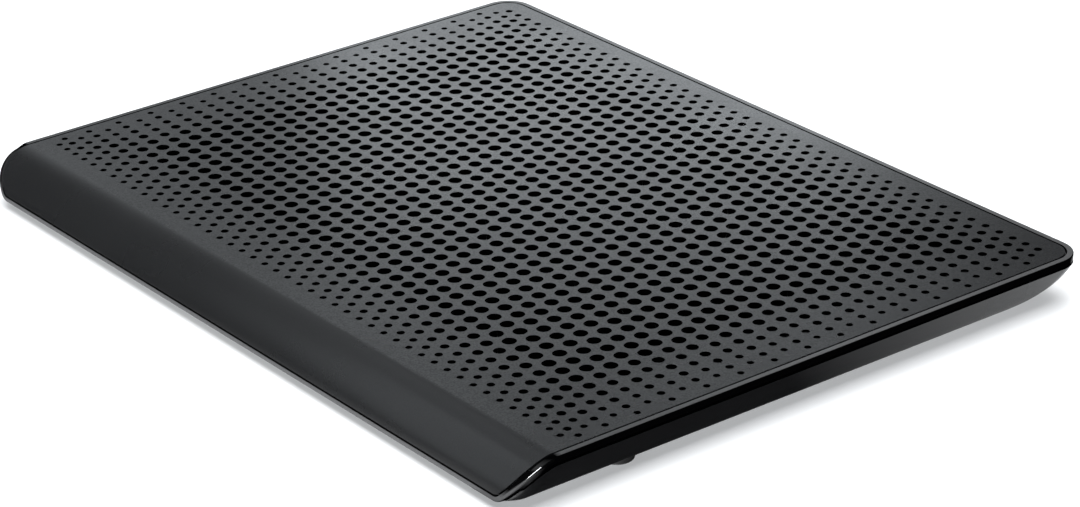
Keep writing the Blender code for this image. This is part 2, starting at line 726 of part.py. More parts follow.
def tube(name, finish, radii, zs, centre, sides, origin):
    """A plain ring of this inner and outer radius."""
    bm = bmesh.new()
    profile = ((radii[0], zs[0]), (radii[1], zs[0]), (radii[1], zs[1]), (radii[0], zs[1]))
    add_lathe(bm, profile, centre, sides)
    place(name, bm, finish, origin=origin)


def fan_motor(side, centre):
    """Stator and bearing, which stay still, and the magnet ring and shaft, which turn."""
    core = bmesh.new()
    add_prism(core, stator_rim(centre), *STATOR_ZS)
    stator = place(f"fan_stator_{side}", core, "copper")
    bore = bmesh.new()
    add_cylinder(bore, centre, STATOR_BORE_RADIUS, 0, 20 * MM, 16)
    subtract(stator, bore, f"stator_bore_{side}")
    tube(f"fan_bearing_{side}", "copper", BEARING_RADII, BEARING_ZS, centre, 14, (0, 0, 0))
    tube(f"fan_magnet_{side}", "magnet", MAGNET_RADII, MAGNET_ZS, centre, 28, centre)
    shaft = bmesh.new()
    add_cylinder(shaft, centre, SHAFT_RADIUS, *SHAFT_ZS, 12)
    place(f"fan_shaft_{side}", shaft, "steel", origin=centre)


def intake_grille(side, centre):
    """Finger guard in the floor: concentric rings on spokes."""
    bm = bmesh.new()
    low, high = UNDERSIDE_Z + 0.3 * MM, FLOOR_TOP_Z - 0.2 * MM
    add_cylinder(bm, centre, GRILLE_HUB_RADIUS, low, high, 20)
    grille = place(f"intake_grille_{side}", bm, "shell_plastic")
    spokes = bmesh.new()
    reach = (GRILLE_HUB_RADIUS - MM, GRILLE_RINGS[-1][0])
    zs = (low + 0.1 * MM, high - 0.1 * MM)
    for i in range(GRILLE_SPOKES):
        angle = 2 * math.pi * i / GRILLE_SPOKES
        add_strut(spokes, centre, angle, reach, GRILLE_SPOKE_HALF_WIDTH, *zs)
    unite(grille, spokes, f"grille_spokes_{side}")
    for index, (middle, half) in enumerate(GRILLE_RINGS):
        ring = bmesh.new()
        inner, outer = middle - half, middle + half
        add_lathe(ring, ((inner, low), (outer, low), (outer, high), (inner, high)), centre, 16 + 8 * index)
        unite(grille, ring, f"grille_ring_{side}_{index}")


def fans():
    for side, centre in FAN_CENTRES.items():
        fan_housing(side, centre)
        fan_impeller(side, centre)
        fan_motor(side, centre)
        intake_grille(side, centre)


# ---------------------------------------------------------------- fasteners and feet


def screw(name, centre, head_z, tip_z):
    """A pan head at head_z, with its shank running to tip_z, above or below."""
    outward = 1 if head_z > tip_z else -1
    crown = head_z + outward * SCREW_HEAD_HEIGHT
    profile = (
        (0, tip_z),
        (SCREW_RADIUS, tip_z),
        (SCREW_RADIUS, head_z),
        (SCREW_HEAD_RADIUS, head_z),
        (SCREW_HEAD_RADIUS, head_z + outward * 0.6 * SCREW_HEAD_HEIGHT),
        (SCREW_HEAD_RADIUS * 0.7, crown),
        (0, crown),
    )
    bm = bmesh.new()
    add_lathe(bm, profile, centre, 10)
    place(name, bm, "steel")


def screws():
    fan_top = FAN_BOTTOM_Z + FAN_HEIGHT + 0.3 * MM
    for side, centre in FAN_CENTRES.items():
        for end, spot in zip(("a", "b"), fan_screw_spots(centre)):
            screw(f"fan_screw_{side}_{end}", spot, fan_top, INNER_SCREW_TIP_Z)
    for side, sign in (("left", -1), ("right", 1)):
        for row, y in CASE_SCREW_YS.items():
            spot = (sign * CASE_SCREW_X, y)
            screw(f"case_screw_{row}_{side}", spot, CASE_SEAT_Z - 0.3 * MM, CASE_SCREW_TIP_Z)
        spot = (BOARD_SCREW_XS[side], BOARD_SCREW_Y)
        screw(f"board_screw_{side}", spot, BOARD_ZS[1] + 0.3 * MM, INNER_SCREW_TIP_Z)


def rubber_feet():
    top = UNDERSIDE_Z + FOOT_RECESS - 0.3 * MM
    profile = (
        (0, 0),
        (FOOT_RADIUS - 1.2 * MM, 0),
        (FOOT_RADIUS - 0.2 * MM, MM),
        (FOOT_RADIUS, UNDERSIDE_Z),
        (FOOT_RADIUS, top),
        (0, top),
    )
    for name, centre in FOOT_PLACES.items():
        bm = bmesh.new()
        add_lathe(bm, profile, centre, 20)
        place(f"rubber_foot_{name}", bm, "rubber")


# ---------------------------------------------------------------- rear legs


def rear_leg(side, x):
    """A flat leg with a hinge barrel, its pin, and the rubber tip that meets the table."""
    hinge = Vector((x, LEG_AXIS_Y, LEG_AXIS_Z))
    half = LEG_WIDTH / 2
    tip_y = LEG_AXIS_Y - LEG_LENGTH
    bm = bmesh.new()
    add_box(bm, (x - half, tip_y, LEG_BOTTOM_Z), (x + half, LEG_AXIS_Y, LEG_TOP_Z))
    front = [edge for edge in bm.edges if max(v.co.y for v in edge.verts) < tip_y + MM]
    upright = [edge for edge in front if abs(edge.verts[0].co.x - edge.verts[1].co.x) < MM]
    bmesh.ops.bevel(bm, geom=upright, offset=2.5 * MM, segments=2, profile=0.5, affect="EDGES")
    leg = place(f"rear_leg_{side}", bm, "shell_plastic", origin=hinge)
    barrel = bmesh.new()
    reach = half - 0.1 * MM
    add_x_cylinder(barrel, x - reach, x + reach, LEG_AXIS_Y, LEG_AXIS_Z, LEG_BARREL_RADIUS, 16)
    unite(leg, barrel, f"leg_barrel_{side}")
    hollow = bmesh.new()
    low = (x - half + 5 * MM, tip_y + 8 * MM, LEG_BOTTOM_Z + 1.8 * MM)
    add_box(hollow, low, (x + half - 5 * MM, LEG_AXIS_Y - 10 * MM, LEG_TOP_Z + MM))
    reach = half + MM
    add_x_cylinder(hollow, x - reach, x + reach, LEG_AXIS_Y, LEG_AXIS_Z, LEG_PIN_RADIUS + 0.15 * MM)
    subtract(leg, hollow, f"leg_hollow_{side}")

    pin = bmesh.new()
    reach = half + POCKET_SIDE_GAP + WALL - 0.4 * MM
    add_x_cylinder(pin, x - reach, x + reach, LEG_AXIS_Y, LEG_AXIS_Z, LEG_PIN_RADIUS)
    place(f"leg_pin_{side}", pin, "steel", origin=hinge)

    tip = bmesh.new()
    low = (x - half + 1.5 * MM, tip_y - LEG_TIP_LENGTH, LEG_BOTTOM_Z + 0.2 * MM)
    add_box(tip, low, (x + half - 1.5 * MM, tip_y - 0.3 * MM, LEG_TOP_Z - 0.2 * MM))
    bmesh.ops.bevel(tip, geom=list(tip.edges), offset=0.6 * MM, segments=1, affect="EDGES")
    place(f"leg_tip_{side}", tip, "rubber", origin=hinge)


# ---------------------------------------------------------------- electrics


def control_board():
    bm = bmesh.new()
    low = (-BOARD_HALF_WIDTH, BOARD_YS[0], BOARD_ZS[0])
    add_box(bm, low, (BOARD_HALF_WIDTH, BOARD_YS[1], BOARD_ZS[1]))
    board = place("control_board", bm, "board")
    holes = bmesh.new()
    for x in BOARD_SCREW_XS.values():
        add_cylinder(holes, (x, BOARD_SCREW_Y), SCREW_HOLE_RADIUS, 0, 20 * MM, 8)
    subtract(board, holes, "board_holes")


def power_socket():
    """Metal shell of the power socket, open towards the rear."""
    width, length, height = SOCKET_SIZE
    half = width / 2 - 0.3 * MM
    low_z = BOARD_ZS[1] + 0.3 * MM
    high_z = low_z + height - 0.4 * MM
    bm = bmesh.new()
    low = (SOCKET_X - half, SOCKET_REAR_Y - length, low_z)
    add_box(bm, low, (SOCKET_X + half, SOCKET_REAR_Y, high_z))
    socket = place("power_socket", bm, "steel")
    mouth = bmesh.new()
    inner = half - SOCKET_METAL
    low = (SOCKET_X - inner, SOCKET_REAR_Y - SOCKET_DEPTH, low_z + SOCKET_METAL)
    add_box(mouth, low, (SOCKET_X + inner, SOCKET_REAR_Y + MM, high_z - SOCKET_METAL))
    subtract(socket, mouth, "socket_mouth")


def speed_switch():
    """Switch body on the board, and the slider that shows through the rear wall."""
    width, length, height = SWITCH_SIZE
    low_z = BOARD_ZS[1] + 0.3 * MM
    middle = SWITCH_X + SWITCH_TRAVEL / 2
    rear = SWITCH_REAR_Y
    bm = bmesh.new()
    low = (middle - width / 2, rear - length, low_z)
    add_box(bm, low, (middle + width / 2, rear, low_z + height))
    body = place("switch_body", bm, "fan_plastic")
    slot = bmesh.new()
    half = SLIDER_WIDTH / 2
    room = 0.5 * MM
    half_height = SLIDER_HALF_HEIGHT + room
    low = (SWITCH_X - half - room, rear - 3 * MM, PORT_Z - half_height)
    high = (SWITCH_X + half + SWITCH_TRAVEL + room, rear + MM, PORT_Z + half_height)
    add_box(slot, low, high)
    subtract(body, slot, "switch_slot")

    slider = bmesh.new()
    low = (SWITCH_X - half, rear - 2.4 * MM, PORT_Z - SLIDER_HALF_HEIGHT)
    add_box(slider, low, (SWITCH_X + half, SLIDER_REAR_Y, PORT_Z + SLIDER_HALF_HEIGHT))
    outer = [edge for edge in slider.edges if min(v.co.y for v in edge.verts) > SLIDER_REAR_Y - MM]
    bmesh.ops.bevel(slider, geom=outer, offset=0.6 * MM, segments=1, affect="EDGES")
    place("switch_slider", slider, "fan_plastic", origin=(SWITCH_X, rear, PORT_Z))


def fan_cable(side, centre):
    """A lead that runs over the floor from the fan to the front edge of the board."""
    sign = 1 if centre.x > 0 else -1
    stops = (
        (centre.x - sign * 20 * MM, centre.y + 41.5 * MM, 8.4 * MM),
        (centre.x - sign * 30 * MM, centre.y + 60 * MM, 6.6 * MM),
        (sign * 32 * MM, 98 * MM, 6.6 * MM),
        (sign * 16 * MM, 115.2 * MM, 8.8 * MM),
    )
    curve = bpy.data.curves.new(f"fan_cable_{side}", "CURVE")
    curve.dimensions = "3D"
    curve.resolution_u = 4
    curve.bevel_depth = CABLE_RADIUS
    curve.bevel_resolution = 1
    curve.use_fill_caps = True
    spline = curve.splines.new("BEZIER")
    spline.bezier_points.add(len(stops) - 1)
    for point, stop in zip(spline.bezier_points, stops):
        point.co = stop
        point.handle_left_type = point.handle_right_type = "AUTO"
    curve.materials.append(finish_material("cable"))
    obj = bpy.data.objects.new(curve.name, curve)
    bpy.context.scene.collection.objects.link(obj)


def main():
    clear_scene()
    top_sheet()
    bezel_frame()
    base_shell()
    fans()
    screws()
    rubber_feet()
    for side, x in LEG_X.items():
        rear_leg(side, x)
    control_board()
    power_socket()
    speed_switch()
    for side, centre in FAN_CENTRES.items():
        fan_cable(side, centre)


main()
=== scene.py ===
import json
import math

import bmesh
import bpy
from mathutils import Matrix, Vector


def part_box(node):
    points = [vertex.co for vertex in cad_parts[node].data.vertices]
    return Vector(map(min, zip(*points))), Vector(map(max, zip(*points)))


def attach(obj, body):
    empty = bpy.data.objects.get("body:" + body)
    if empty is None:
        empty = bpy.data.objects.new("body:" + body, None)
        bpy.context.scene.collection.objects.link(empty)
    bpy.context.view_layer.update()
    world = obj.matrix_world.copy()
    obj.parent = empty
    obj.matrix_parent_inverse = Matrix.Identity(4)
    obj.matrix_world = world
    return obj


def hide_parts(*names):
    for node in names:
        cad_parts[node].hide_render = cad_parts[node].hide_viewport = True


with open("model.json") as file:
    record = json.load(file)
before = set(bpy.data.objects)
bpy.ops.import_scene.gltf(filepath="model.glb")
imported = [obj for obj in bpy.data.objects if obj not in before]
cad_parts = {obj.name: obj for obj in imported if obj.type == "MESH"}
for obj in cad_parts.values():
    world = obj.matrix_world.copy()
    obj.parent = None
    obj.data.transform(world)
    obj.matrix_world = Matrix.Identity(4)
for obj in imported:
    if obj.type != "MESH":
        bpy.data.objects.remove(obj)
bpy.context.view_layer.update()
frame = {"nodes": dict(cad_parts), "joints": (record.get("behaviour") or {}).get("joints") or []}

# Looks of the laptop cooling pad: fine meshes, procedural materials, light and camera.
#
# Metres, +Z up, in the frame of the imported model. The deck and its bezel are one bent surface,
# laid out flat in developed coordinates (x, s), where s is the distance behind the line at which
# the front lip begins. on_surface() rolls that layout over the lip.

MM = 0.001
SIDES = ("left", "right")

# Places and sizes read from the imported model
BEZEL_LOW, BEZEL_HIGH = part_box("bezel_frame")
SHEET_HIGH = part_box("top_sheet")[1]
WIDTH = BEZEL_HIGH.x - BEZEL_LOW.x
DEPTH = BEZEL_HIGH.y - BEZEL_LOW.y
DECK_Z = SHEET_HIGH.z
UNDERSIDE_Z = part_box("base_shell")[0].z
SHEET_HALF_WIDTH = SHEET_HIGH.x

# Section of the bent surface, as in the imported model
FIT_GAP = 0.35 * MM
LIP_RADIUS = 21.6 * MM
LIP_LENGTH = 28.6 * MM
LIP_CORNER_START = 5.4 * MM
LIP_CORNER_RADIUS = 30 * MM
LIP_CORNER_FILLET = 4.5 * MM
REAR_CORNER_RADIUS = 10 * MM
LIP_SIDE_STEPS = 4
LIP_CORNER_STEPS = 14
FILLET_STEPS = 6
REAR_CORNER_STEPS = 12
SIDE_STRIP = WIDTH / 2 - SHEET_HALF_WIDTH - FIT_GAP
FRONT_STRIP = 2.6 * MM
BEZEL_HEIGHT = 3.3 * MM
BEZEL_FOOT_CHAMFER = 0.35 * MM
EDGE_ROUND = 0.5 * MM
EDGE_STEPS = 6
LIP_END_ROUND = (3.1 * MM, 2.4 * MM)
LIP_END_BLEND = 5 * MM
SIDE_CHAMFER = 0.6 * MM
FRONT_CHAMFER = 0.55 * MM
LEDGE = 3.6 * MM
LIP_START_Y = -DEPTH / 2 + LIP_RADIUS * math.sin((LIP_LENGTH + FIT_GAP + FRONT_STRIP) / LIP_RADIUS)
LIP_CENTRE_Z = DECK_Z - LIP_RADIUS
SHEET_REAR_S = SHEET_HIGH.y - LIP_START_Y

# Perforation: spacing is one pitch inside and closes up towards each edge, where holes shrink
SHEET_THICKNESS = 1 * MM
COLUMN_PITCH = 9 * MM
ROW_PITCH = 9.023 * MM
HOLE_ROWS = 32
HOLE_COLUMNS = 45
FRONT_ROW_Y = -122.7 * MM
FRONT_EASE = (0.39, 5)
REAR_EASE = (0.29, 4)
SIDE_EASE = (0.215, 5)
EASE_POWER = 1.2
HOLE_RADIUS = 3.2 * MM
HOLE_SHRINK = 0.866
SHRUNK_HOLES = 5
HOLE_SIDES = 20
FLAT_SPACING = 10 * MM
LIP_SPACING = 1.3 * MM

# Base shell
WALL = 2 * MM
FLOOR_TOP_Z = UNDERSIDE_Z + WALL
CUT_FROM_Z = UNDERSIDE_Z - 2 * MM
ROOT_Z = UNDERSIDE_Z + MM
PILOT_Z = UNDERSIDE_Z + 1.6 * MM
RIM_CHAMFER = 0.4 * MM
BELLY_SIDE_INSET = 11.5 * MM
BELLY_REAR_INSET = 18 * MM
BELLY_FRONT_RADIUS = 9 * MM
BELLY_REAR_RADIUS = 22 * MM
BELLY_BULGE = 0.5
BELLY_STEPS = 10
POST_RADIUS = 3.5 * MM
MIDDLE_POST_YS = (-95 * MM, -20 * MM, 70 * MM)
FAN_POST_YS = (-85 * MM, 92 * MM)
INTAKE_RADIUS = 39 * MM
SCREW_HOLE_RADIUS = 1.9 * MM
CASE_RECESS_RADIUS = 3.8 * MM
CASE_SEAT_Z = 6.2 * MM
CASE_BOSS_TOP_Z = 8.2 * MM
CASE_BOSS_RADIUS = 5 * MM
CASE_STEM_RADIUS = 4 * MM
FOOT_RECESS = 1.2 * MM
POCKET_SIDE_GAP = 0.8 * MM
POCKET_FRONT = 66 * MM
POCKET_REAR = 6 * MM
POCKET_HEADROOM = 3.4 * MM
PORT_HALF_HEIGHT = 2.4 * MM
PORT_YS = (143 * MM, 160 * MM)
BOARD_PILOT_TOP_Z = 9 * MM

# Studio
# Near-black for painted shade: inside the case and on the floor under the pad
PAINTED_SHADE_BLACK = (0.0006, 0.0006, 0.0006)
FLOOR_HALF_SIZE = 8.0
ROOM_STRENGTH = 0.12
SOFT_WHITE = (0.98, 1.0, 1.02)
COOL_WHITE = (0.94, 1.0, 1.045)
CARD_Z = 0.4 * MM
ORIGIN = (0, 0, 0)
ALONG_X = (1, 0, 0)
ACROSS = (0.61, 0.79, 0)
DECK_SPOT = (-0.085, 0.08, DECK_Z)
LIP_SPOT = (0.17, -0.145, 0.015)
CORNER_SPOT = (0.2, 0.12, DECK_Z)
CAMERA_PLACE = (1.2258, -0.9029, 0.7042)
CAMERA_AXES = ((0.5969, 0.8016, -0.0335), (-0.3195, 0.2758, 0.9066), (0.7360, -0.5304, 0.4208))
CAMERA_LENS = 123.3
CAMERA_SHIFT = 0.0551


def centre_of(node):
    low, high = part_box(node)
    return (low + high) / 2


def size_of(node):
    low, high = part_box(node)
    return high - low


# Fans, screws, feet and legs
FAN_CENTRES = {side: centre_of(f"fan_housing_{side}") for side in SIDES}
FAN_BOTTOM_Z, FAN_TOP_Z = (corner.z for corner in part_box("fan_housing_left"))
FAN_HOLE_OFFSET = 35.75 * MM
FAN_CORNER_RADIUS = 4 * MM
FAN_CORNER_STEPS = 6
FAN_BORE_RADIUS = 38 * MM
FAN_BORE_FLARE = 1.2 * MM
FAN_STRUTS = 4
STRUT_HALF_WIDTH = 1.5 * MM
SINK = 0.1 * MM
MOTOR_BASE_RADIUS = 13 * MM
MOTOR_BASE_THICKNESS = 1.2 * MM
MOTOR_BASE_CHAMFER = 0.4 * MM
BEARING_TUBE_RADII = (2.9 * MM, 4.2 * MM)
HUB_RADIUS = 15 * MM
HUB_WALL = 1.9 * MM
HUB_ROOF = 1.6 * MM
BLADES = 7
BLADE_STEPS = 8
BLADE_SECTION_STEPS = 8
BLADE_TIP_RADIUS = 36.8 * MM
BLADE_ROOT_SINK = 0.8 * MM
BLADE_THICKNESS = 1.3 * MM
BLADE_CAMBER = 0.9 * MM
BLADE_SWEEP = 0.36
BLADE_LEAN = (38, 24)
BLADE_CHORD = (9 * MM, 16 * MM)
BLADE_TIP_NARROWING = 0.12
GRILLE_SPOKES = 6
SPOKE_REACH = (7 * MM, 37 * MM)
SPOKE_HALF_WIDTH = 1.1 * MM
GRILLE_RINGS = ((16.5 * MM, 1.3 * MM), (26 * MM, 1.3 * MM), (37.1 * MM, 1.55 * MM))
GRILLE_DISH = 0.5 * MM
SCREW_RADIUS = 1.5 * MM
SCREW_HEAD_HEIGHT = 1.8 * MM
CROWN_STEPS = 6
CROSS_DEPTH = 1.1 * MM
CROSS_TAPER = (0.55, 0.7)
CROSS_LENGTH = 1.7 * MM
CROSS_WIDTH = 0.4 * MM
FOOT_ROLL = 1.1 * MM
FOOT_ROLL_STEPS = 5
SOLE_RINGS = (2.2 * MM, 4.4 * MM)
SOLE_RING_WIDTH = 1.2 * MM
SOLE_RING_SLOPE = 0.25 * MM
SOLE_DEPTH = 0.3 * MM
CABLE_RADIUS = 1.1 * MM
KNOB_CUT_OFFSET = 0.75 * MM
KNOB_CUT_HALF_WIDTH = 0.3 * MM
KNOB_CUT_DEPTH = 1.2 * MM
LEG_BARREL_RADIUS = 2.9 * MM
LEG_SKIN = 1.8 * MM
LEG_CORNER_CUT = 3 * MM
LEG_CELLS = 3
HOLLOW_INSETS = {"side": 5 * MM, "tip": 8 * MM, "hinge": 10 * MM}
LEG_RIB = 1.6 * MM
LEG_GROOVES = 5
GROOVE_START = 6 * MM
GROOVE_PITCH = 2.6 * MM
GROOVE_WIDTH = 1.2 * MM
GROOVE_DEPTH = 0.45 * MM
GROOVE_INSET = 4 * MM
TIP_SLOTS = 5
TIP_SLOT_HALF_WIDTH = 0.4 * MM
TIP_SLOT_DEPTH = 0.5 * MM
LEG_HINGES = {side: centre_of(f"leg_pin_{side}") for side in SIDES}
LEG_HALF_WIDTH = size_of("rear_leg_left").x / 2
PIN_RADIUS = size_of("leg_pin_left").z / 2
PIN_CLEARANCE = 0.15 * MM
CASE_SCREWS = [f"case_screw_{row}_{side}" for row in ("front", "middle", "rear") for side in SIDES]
CASE_SPOTS = [centre_of(node) for node in CASE_SCREWS]
FEET = [f"{end}_{side}" for end in ("front", "rear") for side in SIDES]


# ------------------------------------------------------------ materials


class Finish:
    """A material under construction: short calls that add and join shader nodes."""

    def __init__(self, name):
        self.material = bpy.data.materials.new(name)
        self.material.use_nodes = True
        self.tree = self.material.node_tree
        self.shader = self.tree.nodes["Principled BSDF"]
        self.place = self.node("TexCoord").outputs["Object"]

    def node(self, kind, **settings):
        made = self.tree.nodes.new(f"ShaderNode{kind}")
        for key, value in settings.items():
            setattr(made, key, value)
        return made

    def feed(self, socket, value):
        """Join an output to a socket, or set the socket to a plain value."""
        if isinstance(value, bpy.types.NodeSocket):
            self.tree.links.new(value, socket)
        elif isinstance(value, tuple) and socket.type == "RGBA":
            socket.default_value = (*value, 1)
        else:
            socket.default_value = value

    def wired(self, made, output, **inputs):
        """Feed a node's sockets, named with _ for a space, and give back one of its outputs."""
        for key, value in inputs.items():
            self.feed(made.inputs[key.replace("_", " ")], value)
        return made.outputs[output]

    def set(self, **inputs):
        self.wired(self.shader, "BSDF", **inputs)

    def stretched(self, scale):
        """Object coordinates scaled by a different amount along each axis."""
        return self.wired(self.node("Mapping"), "Vector", Vector=self.place, Scale=scale)

    def noise(self, scale, detail=2.0, vector=None):
        made = self.node("TexNoise")
        return self.wired(made, "Fac", Vector=vector or self.place, Scale=scale, Detail=detail)

    def wave(self, direction, scale, distortion):
        made = self.node("TexWave", bands_direction=direction)
        return self.wired(made, "Fac", Vector=self.place, Scale=scale, Distortion=distortion)

    def math(self, operation, first, second=0.0):
        made = self.node("Math", operation=operation)
        self.feed(made.inputs[0], first)
        self.feed(made.inputs[1], second)
        return made.outputs[0]

    def times(self, first, second):
        return self.math("MULTIPLY", first, second)

    def rest_of(self, share):
        return self.math("SUBTRACT", 1.0, share)

    def ranged(self, value, low, high, new_low=0.0, new_high=1.0):
        """value from low to high turned into new_low to new_high, clamped."""
        made = self.node("MapRange")
        ends = {"From_Min": low, "From_Max": high, "To_Min": new_low, "To_Max": new_high}
        return self.wired(made, "Result", Value=value, **ends)

    def spread(self, noise, new_low, new_high):
        """The middle stretch of a noise turned into new_low to new_high."""
        return self.ranged(noise, 0.3, 0.7, new_low, new_high)

    def blend(self, factor, first, second, kind="RGBA"):
        return self.wired(self.node("Mix", data_type=kind), "Result", Factor=factor, A=first, B=second)

    def bump(self, height, distance, strength):
        return self.wired(self.node("Bump"), "Normal", Strength=strength, Distance=distance, Height=height)

    def normal(self):
        return self.node("NewGeometry").outputs["Normal"]

    def axis(self, source, name):
        """One component of the object coordinates ("place"), or of the surface normal ("normal")."""
        made = self.node("SeparateXYZ")
        self.feed(made.inputs[0], self.place if source == "place" else self.normal())
        return made.outputs[name]

    def absolute(self, source, name):
        """The same component without its sign."""
        return self.math("ABSOLUTE", self.axis(source, name))

    def edge_wear(self, radius):
        """Near 1 on convex edges and 0 on flat faces."""
        dot = self.node("VectorMath", operation="DOT_PRODUCT")
        self.feed(dot.inputs[0], self.wired(self.node("Bevel", samples=4), "Normal", Radius=radius))
        self.feed(dot.inputs[1], self.normal())
        return self.ranged(dot.outputs["Value"], 0.995, 0.9)

    def paint_inside_shade(self):
        """Paint what faces up near-black and without reflection, as painted shade for the dark inside the
        case. What faces down or to the rear stays.
        """
        seen_behind = self.ranged(self.axis("normal", "Y"), 0.5, 0.7, 1.0, 0.0)
        painted_shade_share = self.times(self.ranged(self.axis("normal", "Z"), -0.12, -0.02), seen_behind)
        for name in ("Base Color", "Specular IOR Level", "Metallic"):
            socket = self.shader.inputs[name]
            shown = socket.links[0].from_socket if socket.links else socket.default_value
            if name == "Base Color":
                self.feed(socket, self.blend(painted_shade_share, shown, PAINTED_SHADE_BLACK))
            else:
                self.feed(socket, self.times(shown, self.rest_of(painted_shade_share)))
        return self.material


def sheet_paint():
    """Satin charcoal paint on steel: fine orange peel, hazier patches, flecks, and hole walls painted
    near-black without reflection as painted shade.
    """
    f = Finish("sheet_paint")
    grain = f.noise(1500, 3.0)
    haze = f.noise(22, 4.0)
    colour = f.blend(haze, (0.0125, 0.013, 0.014), (0.015, 0.0155, 0.0165))
    colour = f.blend(f.ranged(grain, 0.35, 0.7), colour, (0.02, 0.0205, 0.0215))
    deck = f.ranged(f.axis("place", "Y"), LIP_START_Y - 2 * MM, LIP_START_Y)
    upright = f.ranged(f.absolute("normal", "Z"), 0.6, 0.3)
    inside = f.ranged(f.absolute("place", "X"), SHEET_HALF_WIDTH - MM, SHEET_HALF_WIDTH, 1.0, 0.0)
    # Painted shade: hole walls of the flat deck go near-black and lose their reflection
    painted_hole_shade = f.times(inside, f.times(deck, upright))
    flecks = f.times(f.ranged(f.noise(1300), 0.36, 0.64, -0.2, 0.2), deck)
    gloss = f.math("ADD", f.ranged(deck, 0.0, 1.0, 0.46, 0.52), flecks)
    f.set(Base_Color=f.blend(painted_hole_shade, colour, (0.001, 0.001, 0.001)), Roughness=f.spread(haze, 0.26, 0.3))
    f.set(Specular_IOR_Level=f.times(gloss, f.rest_of(painted_hole_shade)), Normal=f.bump(grain, 0.03 * MM, 0.12))
    return f.material


def bezel_gloss():
    """Moulded frame, piano black where it turns down. Its level top and front foot are rougher and painted
    grey as a painted sheen for the light they reflect. Faces turned sideways and those near the deck's level
    keep no reflection: painted shade.
    """
    f = Finish("bezel_gloss")
    behind_lip = f.ranged(f.axis("place", "Y"), LIP_START_Y - MM, LIP_START_Y + 2 * MM)
    level_top = f.times(f.ranged(f.axis("normal", "Z"), 0.9, 0.97), behind_lip)
    upright = f.ranged(f.absolute("normal", "Z"), 0.45, 0.25)
    forward = f.ranged(f.axis("normal", "Y"), -0.15, -0.9)
    front_half = f.ranged(f.axis("place", "Y"), -20 * MM, 0.0, 1.0, 0.0)
    front_foot = f.times(upright, f.times(forward, front_half))
    # Painted shade: faces turned sideways and faces near the deck's level lose their reflection, apart from
    # the painted sheen
    sideways = f.ranged(f.absolute("normal", "X"), 0.75, 0.95)
    below_deck = f.ranged(f.axis("place", "Z"), DECK_Z - 0.6 * MM, DECK_Z - 2.5 * MM)
    shine = f.times(below_deck, f.rest_of(sideways))
    # Level top and front foot: rougher, and painted grey as painted sheen
    satin_and_painted_sheen = f.math("MAXIMUM", level_top, front_foot)
    scuffs = f.noise(240, 5.0, f.stretched((1, 6, 6)))
    black = f.blend(f.noise(30, 3.0), (0.0005, 0.0005, 0.0006), (0.001, 0.001, 0.0012))
    # Painted sheen: lighter grey on the front foot, darker grey on the level top
    grey = f.blend(level_top, (0.12, 0.12, 0.122), (0.04, 0.04, 0.041))
    glossy = f.ranged(scuffs, 0.4, 0.7, 0.09, 0.15)
    dull = f.ranged(scuffs, 0.4, 0.7, 0.3, 0.36)
    f.set(Base_Color=f.blend(satin_and_painted_sheen, black, grey), Roughness=f.blend(satin_and_painted_sheen, glossy, dull, "FLOAT"))
    f.set(Specular_IOR_Level=f.math("MAXIMUM", f.times(shine, 0.12), f.times(satin_and_painted_sheen, 0.5)))
    f.set(Normal=f.bump(scuffs, 0.01 * MM, 0.3))
    return f.material


def shell_plastic(name, with_inside_shade):
    """Black ABS with a fine moulded grain, a little smoother where it is rubbed."""
    f = Finish(name)
    broad = f.noise(14, 4.0)
    f.set(Base_Color=f.blend(broad, (0.0045, 0.0045, 0.005), (0.007, 0.007, 0.0075)))
    f.set(Roughness=f.spread(broad, 0.26, 0.33), Normal=f.bump(f.noise(1900), 0.03 * MM, 0.35))
    # With inside shade, what faces up is painted near-black as shade
    return f.paint_inside_shade() if with_inside_shade else f.material


def fan_plastic():
    """Glass-filled black nylon: duller than the shell, with a coarser grain and moulding flow lines."""
    f = Finish("fan_plastic")
    flow = f.noise(60, 3.0, f.stretched((1, 1, 5)))
    f.set(Base_Color=f.blend(flow, (0.005, 0.005, 0.0053), (0.009, 0.009, 0.0095)))
    f.set(Roughness=f.spread(flow, 0.42, 0.55), Normal=f.bump(f.noise(1400, 3.0), 0.05 * MM, 0.4))
    return f.paint_inside_shade()


def rubber():
    """Soft black rubber, matt, with a dusty bloom on its edges."""
    f = Finish("rubber")
    grain = f.noise(2400, 4.0)
    dust = f.times(f.edge_wear(0.5 * MM), f.noise(300, 3.0))
    f.set(Base_Color=f.blend(dust, (0.018, 0.018, 0.018), (0.06, 0.058, 0.055)))
    f.set(Roughness=f.spread(grain, 0.72, 0.9), Normal=f.bump(grain, 0.06 * MM, 0.5))
    return f.material


def steel():
    """Zinc-plated steel: turned marks, a faint warm and cool mottle, and brighter edges."""
    f = Finish("steel")
    marks = f.noise(900, 3.0, f.stretched((1, 1, 7)))
    colour = f.blend(f.noise(160, 4.0), (0.42, 0.43, 0.45), (0.56, 0.54, 0.50))
    f.set(Base_Color=f.blend(f.edge_wear(0.2 * MM), colour, (0.75, 0.75, 0.75)), Metallic=1.0)
    f.set(Roughness=f.spread(marks, 0.24, 0.4), Normal=f.bump(marks, 0.02 * MM, 0.3))
    return f.paint_inside_shade()


def black_oxide():
    """Blackened steel for the inner screws: dull, mottled, worn to metal along its edges."""
    f = Finish("black_oxide")
    mottle = f.noise(420, 4.0)
    colour = f.blend(mottle, (0.004, 0.004, 0.0045), (0.009, 0.009, 0.009))
    f.set(Base_Color=f.blend(f.edge_wear(0.15 * MM), colour, (0.02, 0.02, 0.02)))
    f.set(Roughness=f.spread(mottle, 0.6, 0.75), Specular_IOR_Level=0.2)
    f.set(Normal=f.bump(mottle, 0.02 * MM, 0.4))
    return f.paint_inside_shade()


